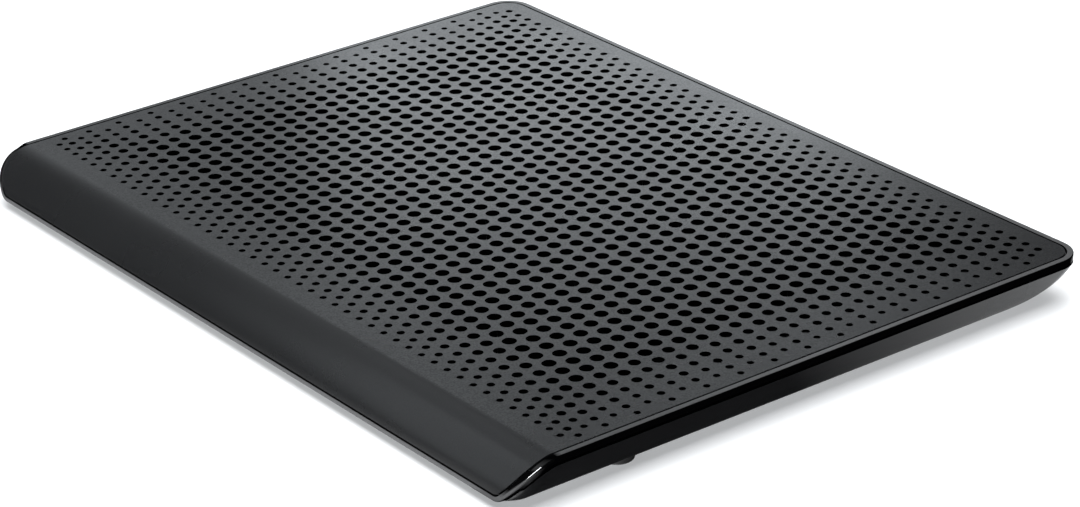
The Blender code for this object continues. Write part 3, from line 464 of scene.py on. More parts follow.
def copper_winding():
    """Enamelled copper wire in turns, and the bronze of the bearing."""
    f = Finish("copper")
    turns = f.wave("Z", 700, 0.6)
    f.set(Base_Color=f.blend(turns, (0.30, 0.10, 0.035), (0.72, 0.34, 0.15)), Metallic=1.0)
    f.set(Roughness=f.spread(f.noise(500), 0.25, 0.42), Normal=f.bump(turns, 0.1 * MM, 0.6))
    return f.paint_inside_shade()


def magnet_ferrite():
    """Sintered ferrite: dark grey, granular, with bright specks."""
    f = Finish("magnet")
    grain = f.noise(1800, 4.0)
    specks = f.ranged(f.noise(3200), 0.62, 0.7)
    f.set(Base_Color=f.blend(specks, (0.06, 0.06, 0.065), (0.28, 0.28, 0.3)), Metallic=0.6)
    f.set(Roughness=f.spread(grain, 0.45, 0.65), Normal=f.bump(grain, 0.05 * MM, 0.5))
    return f.paint_inside_shade()


def circuit_board():
    """Black solder mask over raised copper tracks, with tinned pads."""
    f = Finish("board")
    place = f.stretched((420, 420, 420))
    tracks = f.wired(f.node("TexBrick"), "Fac", Vector=place, Mortar_Size=0.09, Scale=1.0)
    pads = f.wired(f.node("TexVoronoi"), "Distance", Vector=f.place, Scale=330)
    tin = f.ranged(pads, 0.24, 0.2)
    colour = f.blend(tracks, (0.004, 0.005, 0.0045), (0.012, 0.014, 0.013))
    f.set(Base_Color=f.blend(tin, colour, (0.3, 0.3, 0.29)), Metallic=tin)
    f.set(Roughness=f.spread(f.noise(400), 0.28, 0.42))
    f.set(Normal=f.bump(f.math("ADD", tracks, tin), 0.04 * MM, 0.6))
    return f.paint_inside_shade()


def cable_sleeve():
    """PVC lead with the slight ribbing of the wires twisted inside it."""
    f = Finish("cable")
    ribs = f.wave("DIAGONAL", 260, 1.0)
    f.set(Base_Color=f.blend(f.noise(120), (0.012, 0.012, 0.012), (0.028, 0.027, 0.026)))
    f.set(Roughness=f.spread(f.noise(500), 0.4, 0.55), Normal=f.bump(ribs, 0.1 * MM, 0.4))
    return f.paint_inside_shade()


MATERIALS = {
    "deck_paint": sheet_paint(),
    "bezel": bezel_gloss(),
    "shell": shell_plastic("shell_plastic", with_inside_shade=True),
    "leg": shell_plastic("leg_plastic", with_inside_shade=False),
    "fan_plastic": fan_plastic(),
    "rubber": rubber(),
    "steel": steel(),
    "black_oxide": black_oxide(),
    "copper": copper_winding(),
    "magnet": magnet_ferrite(),
    "board": circuit_board(),
    "cable": cable_sleeve(),
}


# ------------------------------------------------------------ mesh helpers


def object_from(bm, name):
    bmesh.ops.recalc_face_normals(bm, faces=bm.faces)
    mesh = bpy.data.meshes.new(name)
    bm.to_mesh(mesh)
    bm.free()
    obj = bpy.data.objects.new(name, mesh)
    bpy.context.scene.collection.objects.link(obj)
    return obj


def combined(bm, *steps):
    """The solid in bm after each (operation, solid) step, as one new bmesh."""
    base = object_from(bm, "combined")
    helpers = []
    for operation, other in steps:
        helper = object_from(other, operation)
        modifier = base.modifiers.new(operation, "BOOLEAN")
        modifier.operation = operation
        modifier.solver = "EXACT"
        modifier.object = helper
        helpers.append(helper)
    result = bmesh.new()
    result.from_object(base, bpy.context.evaluated_depsgraph_get())
    bmesh.ops.dissolve_degenerate(result, edges=result.edges, dist=1e-7)
    for obj in [base] + helpers:
        bpy.data.objects.remove(obj, do_unlink=True)
    return result


def piece(name, bm, slot, body, node, finish=None, sharp=35, bevel=0.0, segments=2):
    """A finished piece of the object that rides on a body and stands for a CAD node."""
    obj = object_from(bm, name)
    obj.data.shade_smooth()
    obj.data.set_sharp_from_angle(angle=math.radians(sharp))
    obj.data.materials.append(MATERIALS[finish or slot])
    if bevel:
        modifier = obj.modifiers.new("edges", "BEVEL")
        modifier.width = bevel
        modifier.segments = segments
        modifier.limit_method = "ANGLE"
        modifier.angle_limit = math.radians(40)
    flatten = obj.modifiers.new("flat faces stay flat", "WEIGHTED_NORMAL")
    flatten.keep_sharp = True
    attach(obj, body)
    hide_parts(node)
    return obj


def around(centre, radius, angle):
    """The place at this radius and angle from centre."""
    return centre[0] + radius * math.cos(angle), centre[1] + radius * math.sin(angle)


def circle(centre, radius, sides, start=0.0):
    return [around(centre, radius, start + 2 * math.pi * i / sides) for i in range(sides)]


def add_extrusion(bm, points, shift):
    """A solid swept by shift from a face on these points."""
    face = bm.faces.new([bm.verts.new(point) for point in points])
    grown = bmesh.ops.extrude_face_region(bm, geom=[face])["geom"]
    moved = [item for item in grown if isinstance(item, bmesh.types.BMVert)]
    bmesh.ops.translate(bm, verts=moved, vec=shift)


def add_prism(bm, outline, low, high):
    """A vertical prism on an outline of (x, y) points."""
    add_extrusion(bm, [(x, y, low) for x, y in outline], (0, 0, high - low))


def add_cylinder(bm, centre, radius, low, high, sides=32):
    add_prism(bm, circle(centre, radius, sides, math.pi / sides), low, high)


def rectangle(low, high):
    """The four corners of a flat rectangle, from two opposite ones."""
    return [(low[0], low[1]), (high[0], low[1]), (high[0], high[1]), (low[0], high[1])]


def add_box(bm, low, high):
    add_prism(bm, rectangle(low, high), low[2], high[2])


def add_x_cylinder(bm, x_from, x_to, hinge, radius, sides=24):
    """A cylinder along X on the hinge's line."""
    rim = circle((hinge.y, hinge.z), radius, sides, math.pi / sides)
    add_extrusion(bm, [(x_from, y, z) for y, z in rim], (x_to - x_from, 0, 0))


def add_lathe(bm, profile, centre, sides):
    """Spin a closed (radius, z) profile about the vertical line through centre."""
    x, y = centre[0], centre[1]
    verts = [bm.verts.new((x + r, y, z)) for r, z in profile]
    pairs = zip(verts, verts[1:] + verts[:1])
    edges = [bm.edges.new(pair) for pair in pairs if pair[0].co.x > x or pair[1].co.x > x]
    turn = {"cent": (x, y, 0), "axis": (0, 0, 1), "angle": 2 * math.pi, "steps": sides}
    bmesh.ops.spin(bm, geom=verts + edges, use_merge=True, **turn)
    bmesh.ops.remove_doubles(bm, verts=bm.verts, dist=1e-6)


def add_skin(bm, rings, closed_along=False):
    """Quads between neighbouring equal rings, and from the last back to the first if it closes."""
    rows = [[bm.verts.new(point) for point in ring] for ring in rings]
    following_rows = rows[1:] + rows[:1] if closed_along else rows[1:]
    for row, following in zip(rows, following_rows):
        for i in range(len(row)):
            j = (i + 1) % len(row)
            bm.faces.new((row[i], row[j], following[j], following[i]))
    return rows


def add_loft(bm, rings):
    """A skin over a row of rings, capped at both ends."""
    rows = add_skin(bm, rings)
    bm.faces.new(rows[0])
    bm.faces.new(rows[-1])


def solid(add, *arguments):
    """A new bmesh that holds one added shape."""
    bm = bmesh.new()
    add(bm, *arguments)
    return bm


def rounded_profile(corners, radius, steps=3):
    """A closed (radius, z) profile with its corners rounded, apart from those on the axis."""
    points = []
    for i, corner in enumerate(corners):
        here = Vector(corner)
        before = Vector(corners[i - 1])
        after = Vector(corners[(i + 1) % len(corners)])
        reach = min(radius, (before - here).length / 2.1, (after - here).length / 2.1)
        start = here + (before - here).normalized() * reach
        end = here + (after - here).normalized() * reach
        if corner[0] <= 0:
            points.append(tuple(here))
            continue
        for step in range(steps + 1):
            t = step / steps
            points.append(tuple(start.lerp(here, t).lerp(here.lerp(end, t), t)))
    return points


# ------------------------------------------------------------ the bent deck surface


def on_surface(x, s, depth):
    """World point under developed position (x, s), at this depth below the deck's outer surface."""
    if s >= 0:
        return Vector((x, LIP_START_Y + s, DECK_Z - depth))
    angle = -s / LIP_RADIUS
    radius = LIP_RADIUS - depth
    return Vector((x, LIP_START_Y - radius * math.sin(angle), LIP_CENTRE_Z + radius * math.cos(angle)))


def arc_stations(centre, radius, start, end, steps):
    """(centre, radius, angle) stations along an arc, from and to an angle in degrees."""
    return [(centre, radius, math.radians(start + (end - start) * i / steps)) for i in range(steps + 1)]


def right_stations():
    """The sheet outline's right half, from the front edge round to the rear edge."""
    reach = LIP_CORNER_RADIUS - LIP_CORNER_FILLET
    turn = math.asin((LIP_LENGTH - LIP_CORNER_START - LIP_CORNER_FILLET) / reach)
    corner = (SHEET_HALF_WIDTH - LIP_CORNER_RADIUS, -LIP_CORNER_START)
    rear = (SHEET_HALF_WIDTH - REAR_CORNER_RADIUS, SHEET_REAR_S - REAR_CORNER_RADIUS)
    bottom = -math.degrees(turn)
    stations = arc_stations(around(corner, reach, -turn), LIP_CORNER_FILLET, -90, bottom, FILLET_STEPS)
    stations += arc_stations(corner, LIP_CORNER_RADIUS, bottom, 0, LIP_CORNER_STEPS)[1:]
    for step in range(1, LIP_SIDE_STEPS + 1):
        s = LIP_CORNER_START * (step / LIP_SIDE_STEPS - 1)
        stations.append(((SHEET_HALF_WIDTH, s), 0, 0.0))
    return stations + arc_stations(rear, REAR_CORNER_RADIUS, 0, 90, REAR_CORNER_STEPS)


def station_traits():
    """(how far the edge faces the front, 0 to 1; developed s) of each point of the outline."""
    stations = right_stations()
    right = [(max(0.0, -math.sin(angle)), around(at, radius, angle)[1]) for at, radius, angle in stations]
    return right + right[::-1]


def both_sides(right):
    return right + [(-x, y) for x, y in reversed(right)]


def outline(offset):
    """Developed outline all the way round, grown outward by offset(facing, s) at each point."""
    right = []
    for (centre, radius, angle), traits in zip(right_stations(), station_traits()):
        right.append(around(centre, radius + offset(*traits), angle))
    return both_sides(right)


def right_outline():
    """The right half of the sheet's own outline, front to rear."""
    whole = outline(lambda facing, s: 0.0)
    return whole[: len(whole) // 2]


def bezel_reach(facing):
    """How far the bezel's outer edge stands off the sheet's edge."""
    return FIT_GAP + SIDE_STRIP + (FRONT_STRIP - SIDE_STRIP) * facing**2


# ------------------------------------------------------------ deck sheet


def eased_positions(count, first, last):
    """Positions of count holes in pitches, closing up over the eased steps at each end."""
    positions = [0.0]
    for i in range(count - 1):
        from_first = max(0.0, 1 - i / first[1])
        from_last = max(0.0, 1 - (count - 2 - i) / last[1])
        step = 1 - first[0] * from_first**EASE_POWER - last[0] * from_last**EASE_POWER
        positions.append(positions[-1] + step)
    return positions


def hole_rows():
    """(s, [(x, radius), ...]) of each row, front to rear. The rear row leaves its corner holes out."""
    rows = []
    for index, position in enumerate(eased_positions(HOLE_ROWS, FRONT_EASE, REAR_EASE)):
        s = FRONT_ROW_Y + position * ROW_PITCH - LIP_START_Y
        count = HOLE_COLUMNS + index % 2
        columns = eased_positions(count, SIDE_EASE, SIDE_EASE)
        holes = []
        for rank, column in enumerate(columns):
            nearest = min(rank, count - 1 - rank, index, HOLE_ROWS - index)
            shrink = HOLE_SHRINK ** max(0, SHRUNK_HOLES - nearest)
            holes.append(((column - columns[-1] / 2) * COLUMN_PITCH, HOLE_RADIUS * shrink))
        rows.append((s, holes))
    s, holes = rows[-1]
    rows[-1] = (s, holes[1:-1])
    return rows


def sheet_half_width(s):
    """Half the sheet's width at developed position s, from its outline."""
    right = right_outline()
    for (x0, s0), (x1, s1) in zip(right, right[1:]):
        if s0 <= s <= s1:
            return x0 + (x1 - x0) * (s - s0) / (s1 - s0) if s1 > s0 else x0
    return right[-1][0] if s > right[-1][1] else right[0][0]


class FlatSheet:
    """The sheet's outer face laid flat: shared points by (x, s), and triangles and quads on them."""

    def __init__(self):
        self.points = []
        self.index = {}
        self.faces = []

    def point(self, x, s):
        key = (round(x * 1e7), round(s * 1e7))
        if key not in self.index:
            self.index[key] = len(self.points)
            self.points.append((x, s))
        return self.index[key]

    def by_angle(self, ring, centre):
        """The ring's angles seen from centre, in rising order, and its points in the same order."""
        angles = sorted((math.atan2(s - centre[1], x - centre[0]), (x, s)) for x, s in ring)
        return [angle for angle, _ in angles], [self.point(*place) for _, place in angles]

    def ring_face(self, border, hole, centre):
        """Fill between a cell's border and its hole: two rings walked round together by angle."""
        outer_angles, outer = self.by_angle(border, centre)
        inner_angles, inner = self.by_angle(hole, centre)
        i = j = 0
        turn = 2 * math.pi
        while i < len(outer) or j < len(inner):
            next_outer = outer_angles[i] if i < len(outer) else turn
            next_inner = inner_angles[j] if j < len(inner) else turn
            at_outer = outer[(i - 1) % len(outer)]
            at_inner = inner[(j - 1) % len(inner)]
            if next_outer <= next_inner:
                self.faces.append((at_outer, outer[i], at_inner))
                i += 1
            else:
                self.faces.append((at_outer, inner[j], at_inner))
                j += 1

    def strip(self, line, following):
        """Quads between two lines of equally many places."""
        for places in zip(line, line[1:], following[1:], following):
            corners = []
            for place in places:
                corner = self.point(*place)
                if corner not in corners:
                    corners.append(corner)
            if len(corners) > 2:
                self.faces.append(tuple(corners))

    def boundary(self):
        """The edges that only one face uses, each as a pair of point numbers."""
        uses = {}
        for face in self.faces:
            for a, b in zip(face, face[1:] + face[:1]):
                key = (min(a, b), max(a, b))
                uses[key] = uses.get(key, 0) + 1
        return [key for key, count in uses.items() if count == 1]


def middles(values):
    return [(a + b) / 2 for a, b in zip(values, values[1:])]


def row_borders(holes, s):
    """Where this row's cells meet the row's edge line at s, from the left edge to the right."""
    half = sheet_half_width(s)
    return [-half] + middles([x for x, _ in holes]) + [half]


def fill_perforated_field(sheet, rows, lines):
    """One cell for each hole. A cell's border also takes in its neighbours' corners."""
    rear_arc = SHEET_REAR_S - REAR_CORNER_RADIUS
    for index, (s, holes) in enumerate(rows):
        low, high = lines[index], lines[index + 1]
        below = row_borders(rows[index - 1][1], low)[1:-1] if index else []
        above = row_borders(rows[index + 1][1], high)[1:-1] if index + 1 < len(rows) else []
        low_ends, high_ends = row_borders(holes, low), row_borders(holes, high)
        for column, (x, radius) in enumerate(holes):
            border = []
            for ends, line, others in ((low_ends, low, below), (high_ends, high, above)):
                left, right = ends[column], ends[column + 1]
                border += [(left, line), (right, line)]
                border += [(other, line) for other in others if left < other < right]
            if low < rear_arc < high and column in (0, len(holes) - 1):
                border.append((math.copysign(SHEET_HALF_WIDTH, x), rear_arc))
            sheet.ring_face(border, circle((x, s), radius, HOLE_SIDES), (x, s))


def fill_margin(sheet, holes, start, stations):
    """Plain strips from the field's edge line out to the sheet's edge."""
    half = sheet_half_width(start)
    shares = [x / half for x in row_borders(holes, start)]
    line = [(share * half, start) for share in shares]
    for s, half in stations:
        following = [(share * half, s) for share in shares]
        sheet.strip(line, following)
        line = following


def margin_stations(s_from, s_to, spacing):
    """(s, half width) stations that follow the outline's own points, no further apart than spacing."""
    low, high = min(s_from, s_to), max(s_from, s_to)
    ends = sorted({round(s, 7) for _, s in right_outline() if low < s < high} | {low, high})
    stations = []
    for a, b in zip(ends, ends[1:]):
        count = max(1, math.ceil((b - a) / spacing))
        stations += [a + (b - a) * i / count for i in range(count)]
    stations.append(ends[-1])
    stations = stations[1:] if s_to > s_from else stations[-2::-1]
    return [(s, sheet_half_width(s)) for s in stations]


def deck_sheet():
    """The perforated sheet, folded over the lip, with true holes through its thickness."""
    rows = hole_rows()
    places = [s for s, _ in rows]
    first = places[0] - (places[1] - places[0]) / 2
    last = places[-1] + (places[-1] - places[-2]) / 2
    sheet = FlatSheet()
    fill_perforated_field(sheet, rows, [first] + middles(places) + [last])
    front = margin_stations(first, 0.0, FLAT_SPACING) + margin_stations(0.0, -LIP_LENGTH, LIP_SPACING)
    fill_margin(sheet, rows[0][1], first, front)
    fill_margin(sheet, rows[-1][1], last, margin_stations(last, SHEET_REAR_S, FLAT_SPACING))

    bm = bmesh.new()
    layers = []
    for depth in (0.0, SHEET_THICKNESS):
        layers.append([bm.verts.new(on_surface(x, s, depth)) for x, s in sheet.points])
    for face in sheet.faces:
        bm.faces.new([layers[0][i] for i in face])
        bm.faces.new([layers[1][i] for i in reversed(face)])
    for a, b in sheet.boundary():
        bm.faces.new((layers[0][a], layers[0][b], layers[1][b], layers[1][a]))
    piece("deck_sheet", bm, "deck_paint", "pad", "top_sheet")


# ------------------------------------------------------------ bezel


def edge_round(facing, s):
    """How far the bezel's outer edge is rounded across and down: broadly at the lip's ends."""
    broad = min(1.0, max(0.0, -s / LIP_END_BLEND)) * (1 - facing)
    return [EDGE_ROUND + (wide - EDGE_ROUND) * broad for wide in LIP_END_ROUND]


def groove_slope(facing):
    """The slope of the bezel's edge down to the sheet, which leaves a groove beside it."""
    return SIDE_CHAMFER + (FRONT_CHAMFER - SIDE_CHAMFER) * facing**2


def bezel_section(facing, s):
    """The bezel's section as (reach, depth) pairs, at an outline point with these traits."""
    outer = bezel_reach(facing)
    across, down = edge_round(facing, s)
    ledge_depth = SHEET_THICKNESS + FIT_GAP
    section = []
    for step in range(EDGE_STEPS + 1):
        angle = math.pi / 2 * (step / EDGE_STEPS)
        section.append((outer - across * (1 - math.sin(angle)), down * (1 - math.cos(angle))))
    section += [(outer, BEZEL_HEIGHT - BEZEL_FOOT_CHAMFER), (outer - BEZEL_FOOT_CHAMFER, BEZEL_HEIGHT)]
    section += [(-LEDGE, BEZEL_HEIGHT), (-LEDGE, ledge_depth), (FIT_GAP, ledge_depth)]
    return section + [(FIT_GAP, groove_slope(facing)), (FIT_GAP + groove_slope(facing), 0.0)]


def bezel():
    """Moulded frame around the sheet, with its ledge and screw bosses."""
    traits = station_traits()
    corners = []
    for rank in range(len(bezel_section(0, 0))):
        places = zip(outline(lambda *trait: bezel_section(*trait)[rank][0]), traits)
        corners.append([on_surface(x, s, bezel_section(*trait)[rank][1]) for (x, s), trait in places])
    bm = bmesh.new()
    add_skin(bm, zip(*corners), closed_along=True)

    tabs, stems, bores = bmesh.new(), bmesh.new(), bmesh.new()
    tab_low, tab_high = DECK_Z - BEZEL_HEIGHT, DECK_Z - SHEET_THICKNESS - FIT_GAP
    for spot in CASE_SPOTS:
        side = math.copysign(1, spot.x)
        ends = sorted((spot.x - side * CASE_BOSS_RADIUS, side * (SHEET_HALF_WIDTH - MM)))
        tab_rear = (ends[1], spot.y + CASE_BOSS_RADIUS, tab_high)
        add_box(tabs, (ends[0], spot.y - CASE_BOSS_RADIUS, tab_low), tab_rear)
        add_cylinder(stems, spot, CASE_STEM_RADIUS, CASE_BOSS_TOP_Z + FIT_GAP, tab_high - MM)
        add_cylinder(bores, spot, SCREW_HOLE_RADIUS, 0, tab_low - 2 * MM)
    bm = combined(bm, ("UNION", tabs), ("UNION", stems), ("DIFFERENCE", bores))
    return piece("bezel", bm, "bezel", "pad", "bezel_frame", sharp=30)


# ------------------------------------------------------------ base shell


def rim_point(x, s, extra):
    """Where the shell meets the bezel's lower edge, held above the floor at the front."""
    depth = BEZEL_HEIGHT + FIT_GAP + extra
    lowest = LIP_RADIUS * math.acos((FLOOR_TOP_Z - LIP_CENTRE_Z) / (LIP_RADIUS - depth))
    return on_surface(x, max(s, -lowest), depth)


def rim_ring(inset, extra=0.0):
    return [rim_point(x, s, extra) for x, s in outline(lambda facing, s: bezel_reach(facing) - inset)]


def belly_ring(inset, z):
    """Outline of the flat underside, point for point with the rim."""
    front = rim_point(0, -LIP_RADIUS * 2, 0.0).y
    side = WIDTH / 2 - BELLY_SIDE_INSET
    rear = DEPTH / 2 - BELLY_REAR_INSET
    front_centre = (side - BELLY_FRONT_RADIUS, front + BELLY_FRONT_RADIUS)
    rear_centre = (side - BELLY_REAR_RADIUS, rear - BELLY_REAR_RADIUS)
    stations = arc_stations(front_centre, BELLY_FRONT_RADIUS, -90, 0, FILLET_STEPS + LIP_CORNER_STEPS)
    for step in range(1, LIP_SIDE_STEPS + 1):
        y = front_centre[1] + (LIP_START_Y - front_centre[1]) * step / LIP_SIDE_STEPS
        stations.append(((side, y), 0, 0.0))
    stations += arc_stations(rear_centre, BELLY_REAR_RADIUS, 0, 90, REAR_CORNER_STEPS)
    right = [around(centre, radius - inset, angle) for centre, radius, angle in stations]
    return [Vector((x, y, z)) for x, y in both_sides(right)]


def belly_rings(rim, belly):
    """Rings from the rim down to the underside, part slant and part quarter ellipse."""
    rings = []
    for step in range(BELLY_STEPS + 1):
        t = step / BELLY_STEPS
        across = t + BELLY_BULGE * (1 - math.cos(t * math.pi / 2) - t)
        down = t + BELLY_BULGE * (math.sin(t * math.pi / 2) - t)
        ring = []
        for high, low in zip(rim, belly):
            flat = high.lerp(low, across)
            ring.append(Vector((flat.x, flat.y, high.z + (low.z - high.z) * down)))
        rings.append(ring)
    return rings


def add_tray(bm, rings):
    """Skin the belly rings, close the underside, and close the top by strips from side to side."""
    rows = add_skin(bm, rings)
    bm.faces.new(rows[-1])
    top = rows[0]
    half = len(top) // 2
    in_front_line = sum(vert.co.y < top[0].co.y + 1e-6 for vert in top[:half])
    bm.faces.new(top[: in_front_line + 1] + top[len(top) - in_front_line - 1 :])
    for i in range(in_front_line, half - 1):
        bm.faces.new((top[i], top[i + 1], top[-2 - i], top[-1 - i]))


def shell_cavity():
    rim = rim_ring(RIM_CHAMFER + WALL)
    for point in rim:
        point.z = max(point.z, FLOOR_TOP_Z + 3 * MM)
    opening = [Vector((point.x, point.y, DECK_Z + 5 * MM)) for point in rim]
    return solid(add_tray, [opening] + belly_rings(rim, belly_ring(WALL, FLOOR_TOP_Z)))


def pocket_box(side):
    """The room that a leg folds into."""
    hinge = LEG_HINGES[side]
    half = LEG_HALF_WIDTH + POCKET_SIDE_GAP
    low = Vector((hinge.x - half, hinge.y - POCKET_FRONT, CUT_FROM_Z))
    return low, Vector((hinge.x + half, hinge.y + POCKET_REAR, hinge.z + POCKET_HEADROOM))


def fan_corners(centre):
    """The places of a fan's four screw holes."""
    signs = [(x, y) for x in (-1, 1) for y in (-1, 1)]
    return [centre + Vector((x, y, 0)) * FAN_HOLE_OFFSET for x, y in signs]


def shell_additions():
    """Posts, screw bosses and leg pocket walls that rise from the floor."""
    bm = bmesh.new()
    spread = FAN_CENTRES["right"].x
    posts = [(0, y) for y in MIDDLE_POST_YS] + [(x, y) for x in (-spread, spread) for y in FAN_POST_YS]
    for place in posts:
        add_cylinder(bm, place, POST_RADIUS, ROOT_Z, DECK_Z - SHEET_THICKNESS - FIT_GAP)
    for centre in FAN_CENTRES.values():
        for spot in fan_corners(centre):
            add_cylinder(bm, spot, POST_RADIUS, ROOT_Z, FAN_BOTTOM_Z - FIT_GAP)
    for spot in CASE_SPOTS:
        add_cylinder(bm, spot, CASE_BOSS_RADIUS, ROOT_Z, CASE_BOSS_TOP_Z)
    board_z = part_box("control_board")[0].z
    for side in SIDES:
        low, high = pocket_box(side)
        add_box(bm, (low.x - WALL, low.y - WALL, ROOT_Z), high + Vector((WALL, WALL, WALL)))
        add_cylinder(bm, centre_of(f"board_screw_{side}"), POST_RADIUS, ROOT_Z, board_z - FIT_GAP)
    return bm


def shell_openings():
    """Everything cut through or into the floor."""
    bm = bmesh.new()
    for side, centre in FAN_CENTRES.items():
        add_cylinder(bm, centre, INTAKE_RADIUS, CUT_FROM_Z, FLOOR_TOP_Z + MM, 96)
        for end in ("a", "b"):
            spot = centre_of(f"fan_screw_{side}_{end}")
            add_cylinder(bm, spot, SCREW_HOLE_RADIUS, PILOT_Z, FAN_BOTTOM_Z + MM, 16)
    for spot in CASE_SPOTS:
        profile = (
            (0, CUT_FROM_Z),
            (CASE_RECESS_RADIUS, CUT_FROM_Z),
            (CASE_RECESS_RADIUS, CASE_SEAT_Z),
            (SCREW_HOLE_RADIUS, CASE_SEAT_Z),
            (SCREW_HOLE_RADIUS, CASE_BOSS_TOP_Z + MM),
            (0, CASE_BOSS_TOP_Z + MM),
        )
        add_lathe(bm, profile, spot, 32)
    for foot in FEET:
        radius = size_of(f"rubber_foot_{foot}").x / 2 + 0.5 * MM
        add_cylinder(bm, centre_of(f"rubber_foot_{foot}"), radius, CUT_FROM_Z, UNDERSIDE_Z + FOOT_RECESS, 48)
    for side in SIDES:
        add_box(bm, *pocket_box(side))
        add_cylinder(bm, centre_of(f"board_screw_{side}"), SCREW_HOLE_RADIUS, PILOT_Z, BOARD_PILOT_TOP_Z, 16)
    return bm


def slider_travel():
    joint = next(joint for joint in frame["joints"] if joint["name"] == "speed_switch_slide")
    return joint["range_m"][1]


def shell_side_openings():
    """Pin holes through the leg pockets, and the two ports in the rear wall."""
    bm = bmesh.new()
    for hinge in LEG_HINGES.values():
        reach = LEG_HALF_WIDTH + POCKET_SIDE_GAP + 2 * WALL
        add_x_cylinder(bm, hinge.x - reach, hinge.x + reach, hinge, PIN_RADIUS + FIT_GAP)
    slider_low, slider_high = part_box("switch_slider")
    socket_low, socket_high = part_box("power_socket")
    port_z = (slider_low.z + slider_high.z) / 2
    ports = (
        (socket_low.x - 0.3 * MM, socket_high.x + 0.3 * MM),
        (slider_low.x - MM, slider_high.x + slider_travel() + MM),
    )
    for x_from, x_to in ports:
        low = (x_from, PORT_YS[0], port_z - PORT_HALF_HEIGHT)
        add_box(bm, low, (x_to, PORT_YS[1], port_z + PORT_HALF_HEIGHT))
    return bm


def base_shell():
    """Lower shell: a chamfered rim under the bezel, a slanted belly, and everything cut in the floor."""
    belly = belly_rings(rim_ring(0.0, RIM_CHAMFER), belly_ring(0, UNDERSIDE_Z))
    bm = solid(add_tray, [rim_ring(RIM_CHAMFER)] + belly)
    steps = (
        ("DIFFERENCE", shell_cavity()),
        ("UNION", shell_additions()),
        ("DIFFERENCE", shell_openings()),
        ("DIFFERENCE", shell_side_openings()),
    )
    piece("shell", combined(bm, *steps), "shell", "pad", "base_shell", sharp=30)


# ------------------------------------------------------------ fans


def add_strut(bm, centre, angle, reach, half_width, low, high):
    """A straight bar that runs outward from centre at this angle."""
    along = Vector((math.cos(angle), math.sin(angle), 0))
    across = Vector((-along.y, along.x, 0)) * half_width
    inner = centre + along * reach[0]
    outer = centre + along * reach[1]
    corners = (inner - across, outer - across, outer + across, inner + across)
    add_prism(bm, [(corner.x, corner.y) for corner in corners], low, high)


def fan_outline(centre, half):
    """A square with rounded corners."""
    points = []
    for quarter in range(4):
        reach = half - FAN_CORNER_RADIUS
        middle = Vector((reach, reach)) @ Matrix.Rotation(-math.pi / 2 * quarter, 2)
        for step in range(FAN_CORNER_STEPS + 1):
            angle = math.pi / 2 * (quarter + step / FAN_CORNER_STEPS)
            points.append(around((centre.x + middle.x, centre.y + middle.y), FAN_CORNER_RADIUS, angle))
    return points


def fan_housing(side, centre):
    """Square frame with a round bore, and struts that carry the motor base and bearing tube."""
    node = f"fan_housing_{side}"
    bm = solid(add_prism, fan_outline(centre, size_of(node).x / 2), FAN_BOTTOM_Z, FAN_TOP_Z)
    mouth = FAN_BORE_RADIUS + FAN_BORE_FLARE
    profile = (
        (0, FAN_BOTTOM_Z - MM),
        (mouth, FAN_BOTTOM_Z - MM),
        (mouth, FAN_BOTTOM_Z),
        (FAN_BORE_RADIUS, FAN_BOTTOM_Z + 2 * FAN_BORE_FLARE),
        (FAN_BORE_RADIUS, FAN_TOP_Z + MM),
        (0, FAN_TOP_Z + MM),
    )
    bores = solid(add_lathe, profile, centre, 96)
    for spot in fan_corners(centre):
        add_cylinder(bores, spot, SCREW_HOLE_RADIUS, 0, FAN_TOP_Z + MM, 20)
    base_top = FAN_BOTTOM_Z + MOTOR_BASE_THICKNESS
    tube_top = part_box(f"fan_bearing_{side}")[1].z + 0.3 * MM
    tube_inner, tube_outer = BEARING_TUBE_RADII
    tube = (
        (tube_inner, FAN_BOTTOM_Z),
        (MOTOR_BASE_RADIUS - MOTOR_BASE_CHAMFER, FAN_BOTTOM_Z),
        (MOTOR_BASE_RADIUS, FAN_BOTTOM_Z + MOTOR_BASE_CHAMFER),
        (MOTOR_BASE_RADIUS, base_top),
        (tube_outer, base_top),
        (tube_outer, tube_top),
        (tube_inner, tube_top),
    )
    struts = bmesh.new()
    reach = (MOTOR_BASE_RADIUS - 2 * MM, FAN_BORE_RADIUS + 1.6 * MM)
    for i in range(FAN_STRUTS):
        angle = 2 * math.pi * (i + 0.5) / FAN_STRUTS
        add_strut(struts, centre, angle, reach, STRUT_HALF_WIDTH, FAN_BOTTOM_Z + SINK, base_top - SINK)
    motor_base = solid(add_lathe, tube, centre, 48)
    bm = combined(bm, ("DIFFERENCE", bores), ("UNION", motor_base), ("UNION", struts))
    piece(f"fan_frame_{side}", bm, "fan_plastic", "pad", node, bevel=0.25 * MM)


def blade_ring(centre, radius, angle, pitch, chord, middle_z):
    """A blade's section at this radius: a cambered aerofoil that leans by pitch."""
    outward = Vector((math.cos(angle), math.sin(angle), 0))
    along = Vector((-outward.y, outward.x, 0)) * math.cos(pitch) + Vector((0, 0, math.sin(pitch)))
    normal = outward.cross(along)
    middle = centre + outward * radius
    middle.z = middle_z
    points = []
    for step in range(2 * BLADE_SECTION_STEPS):
        turn = math.pi * step / BLADE_SECTION_STEPS
        share = math.cos(turn)
        camber = BLADE_CAMBER * (1 - share**2)
        thick = BLADE_THICKNESS / 2 * math.sin(turn) * (0.72 + 0.28 * share)
        points.append(middle + along * (chord / 2 * share) + normal * (thick + camber))
    return points


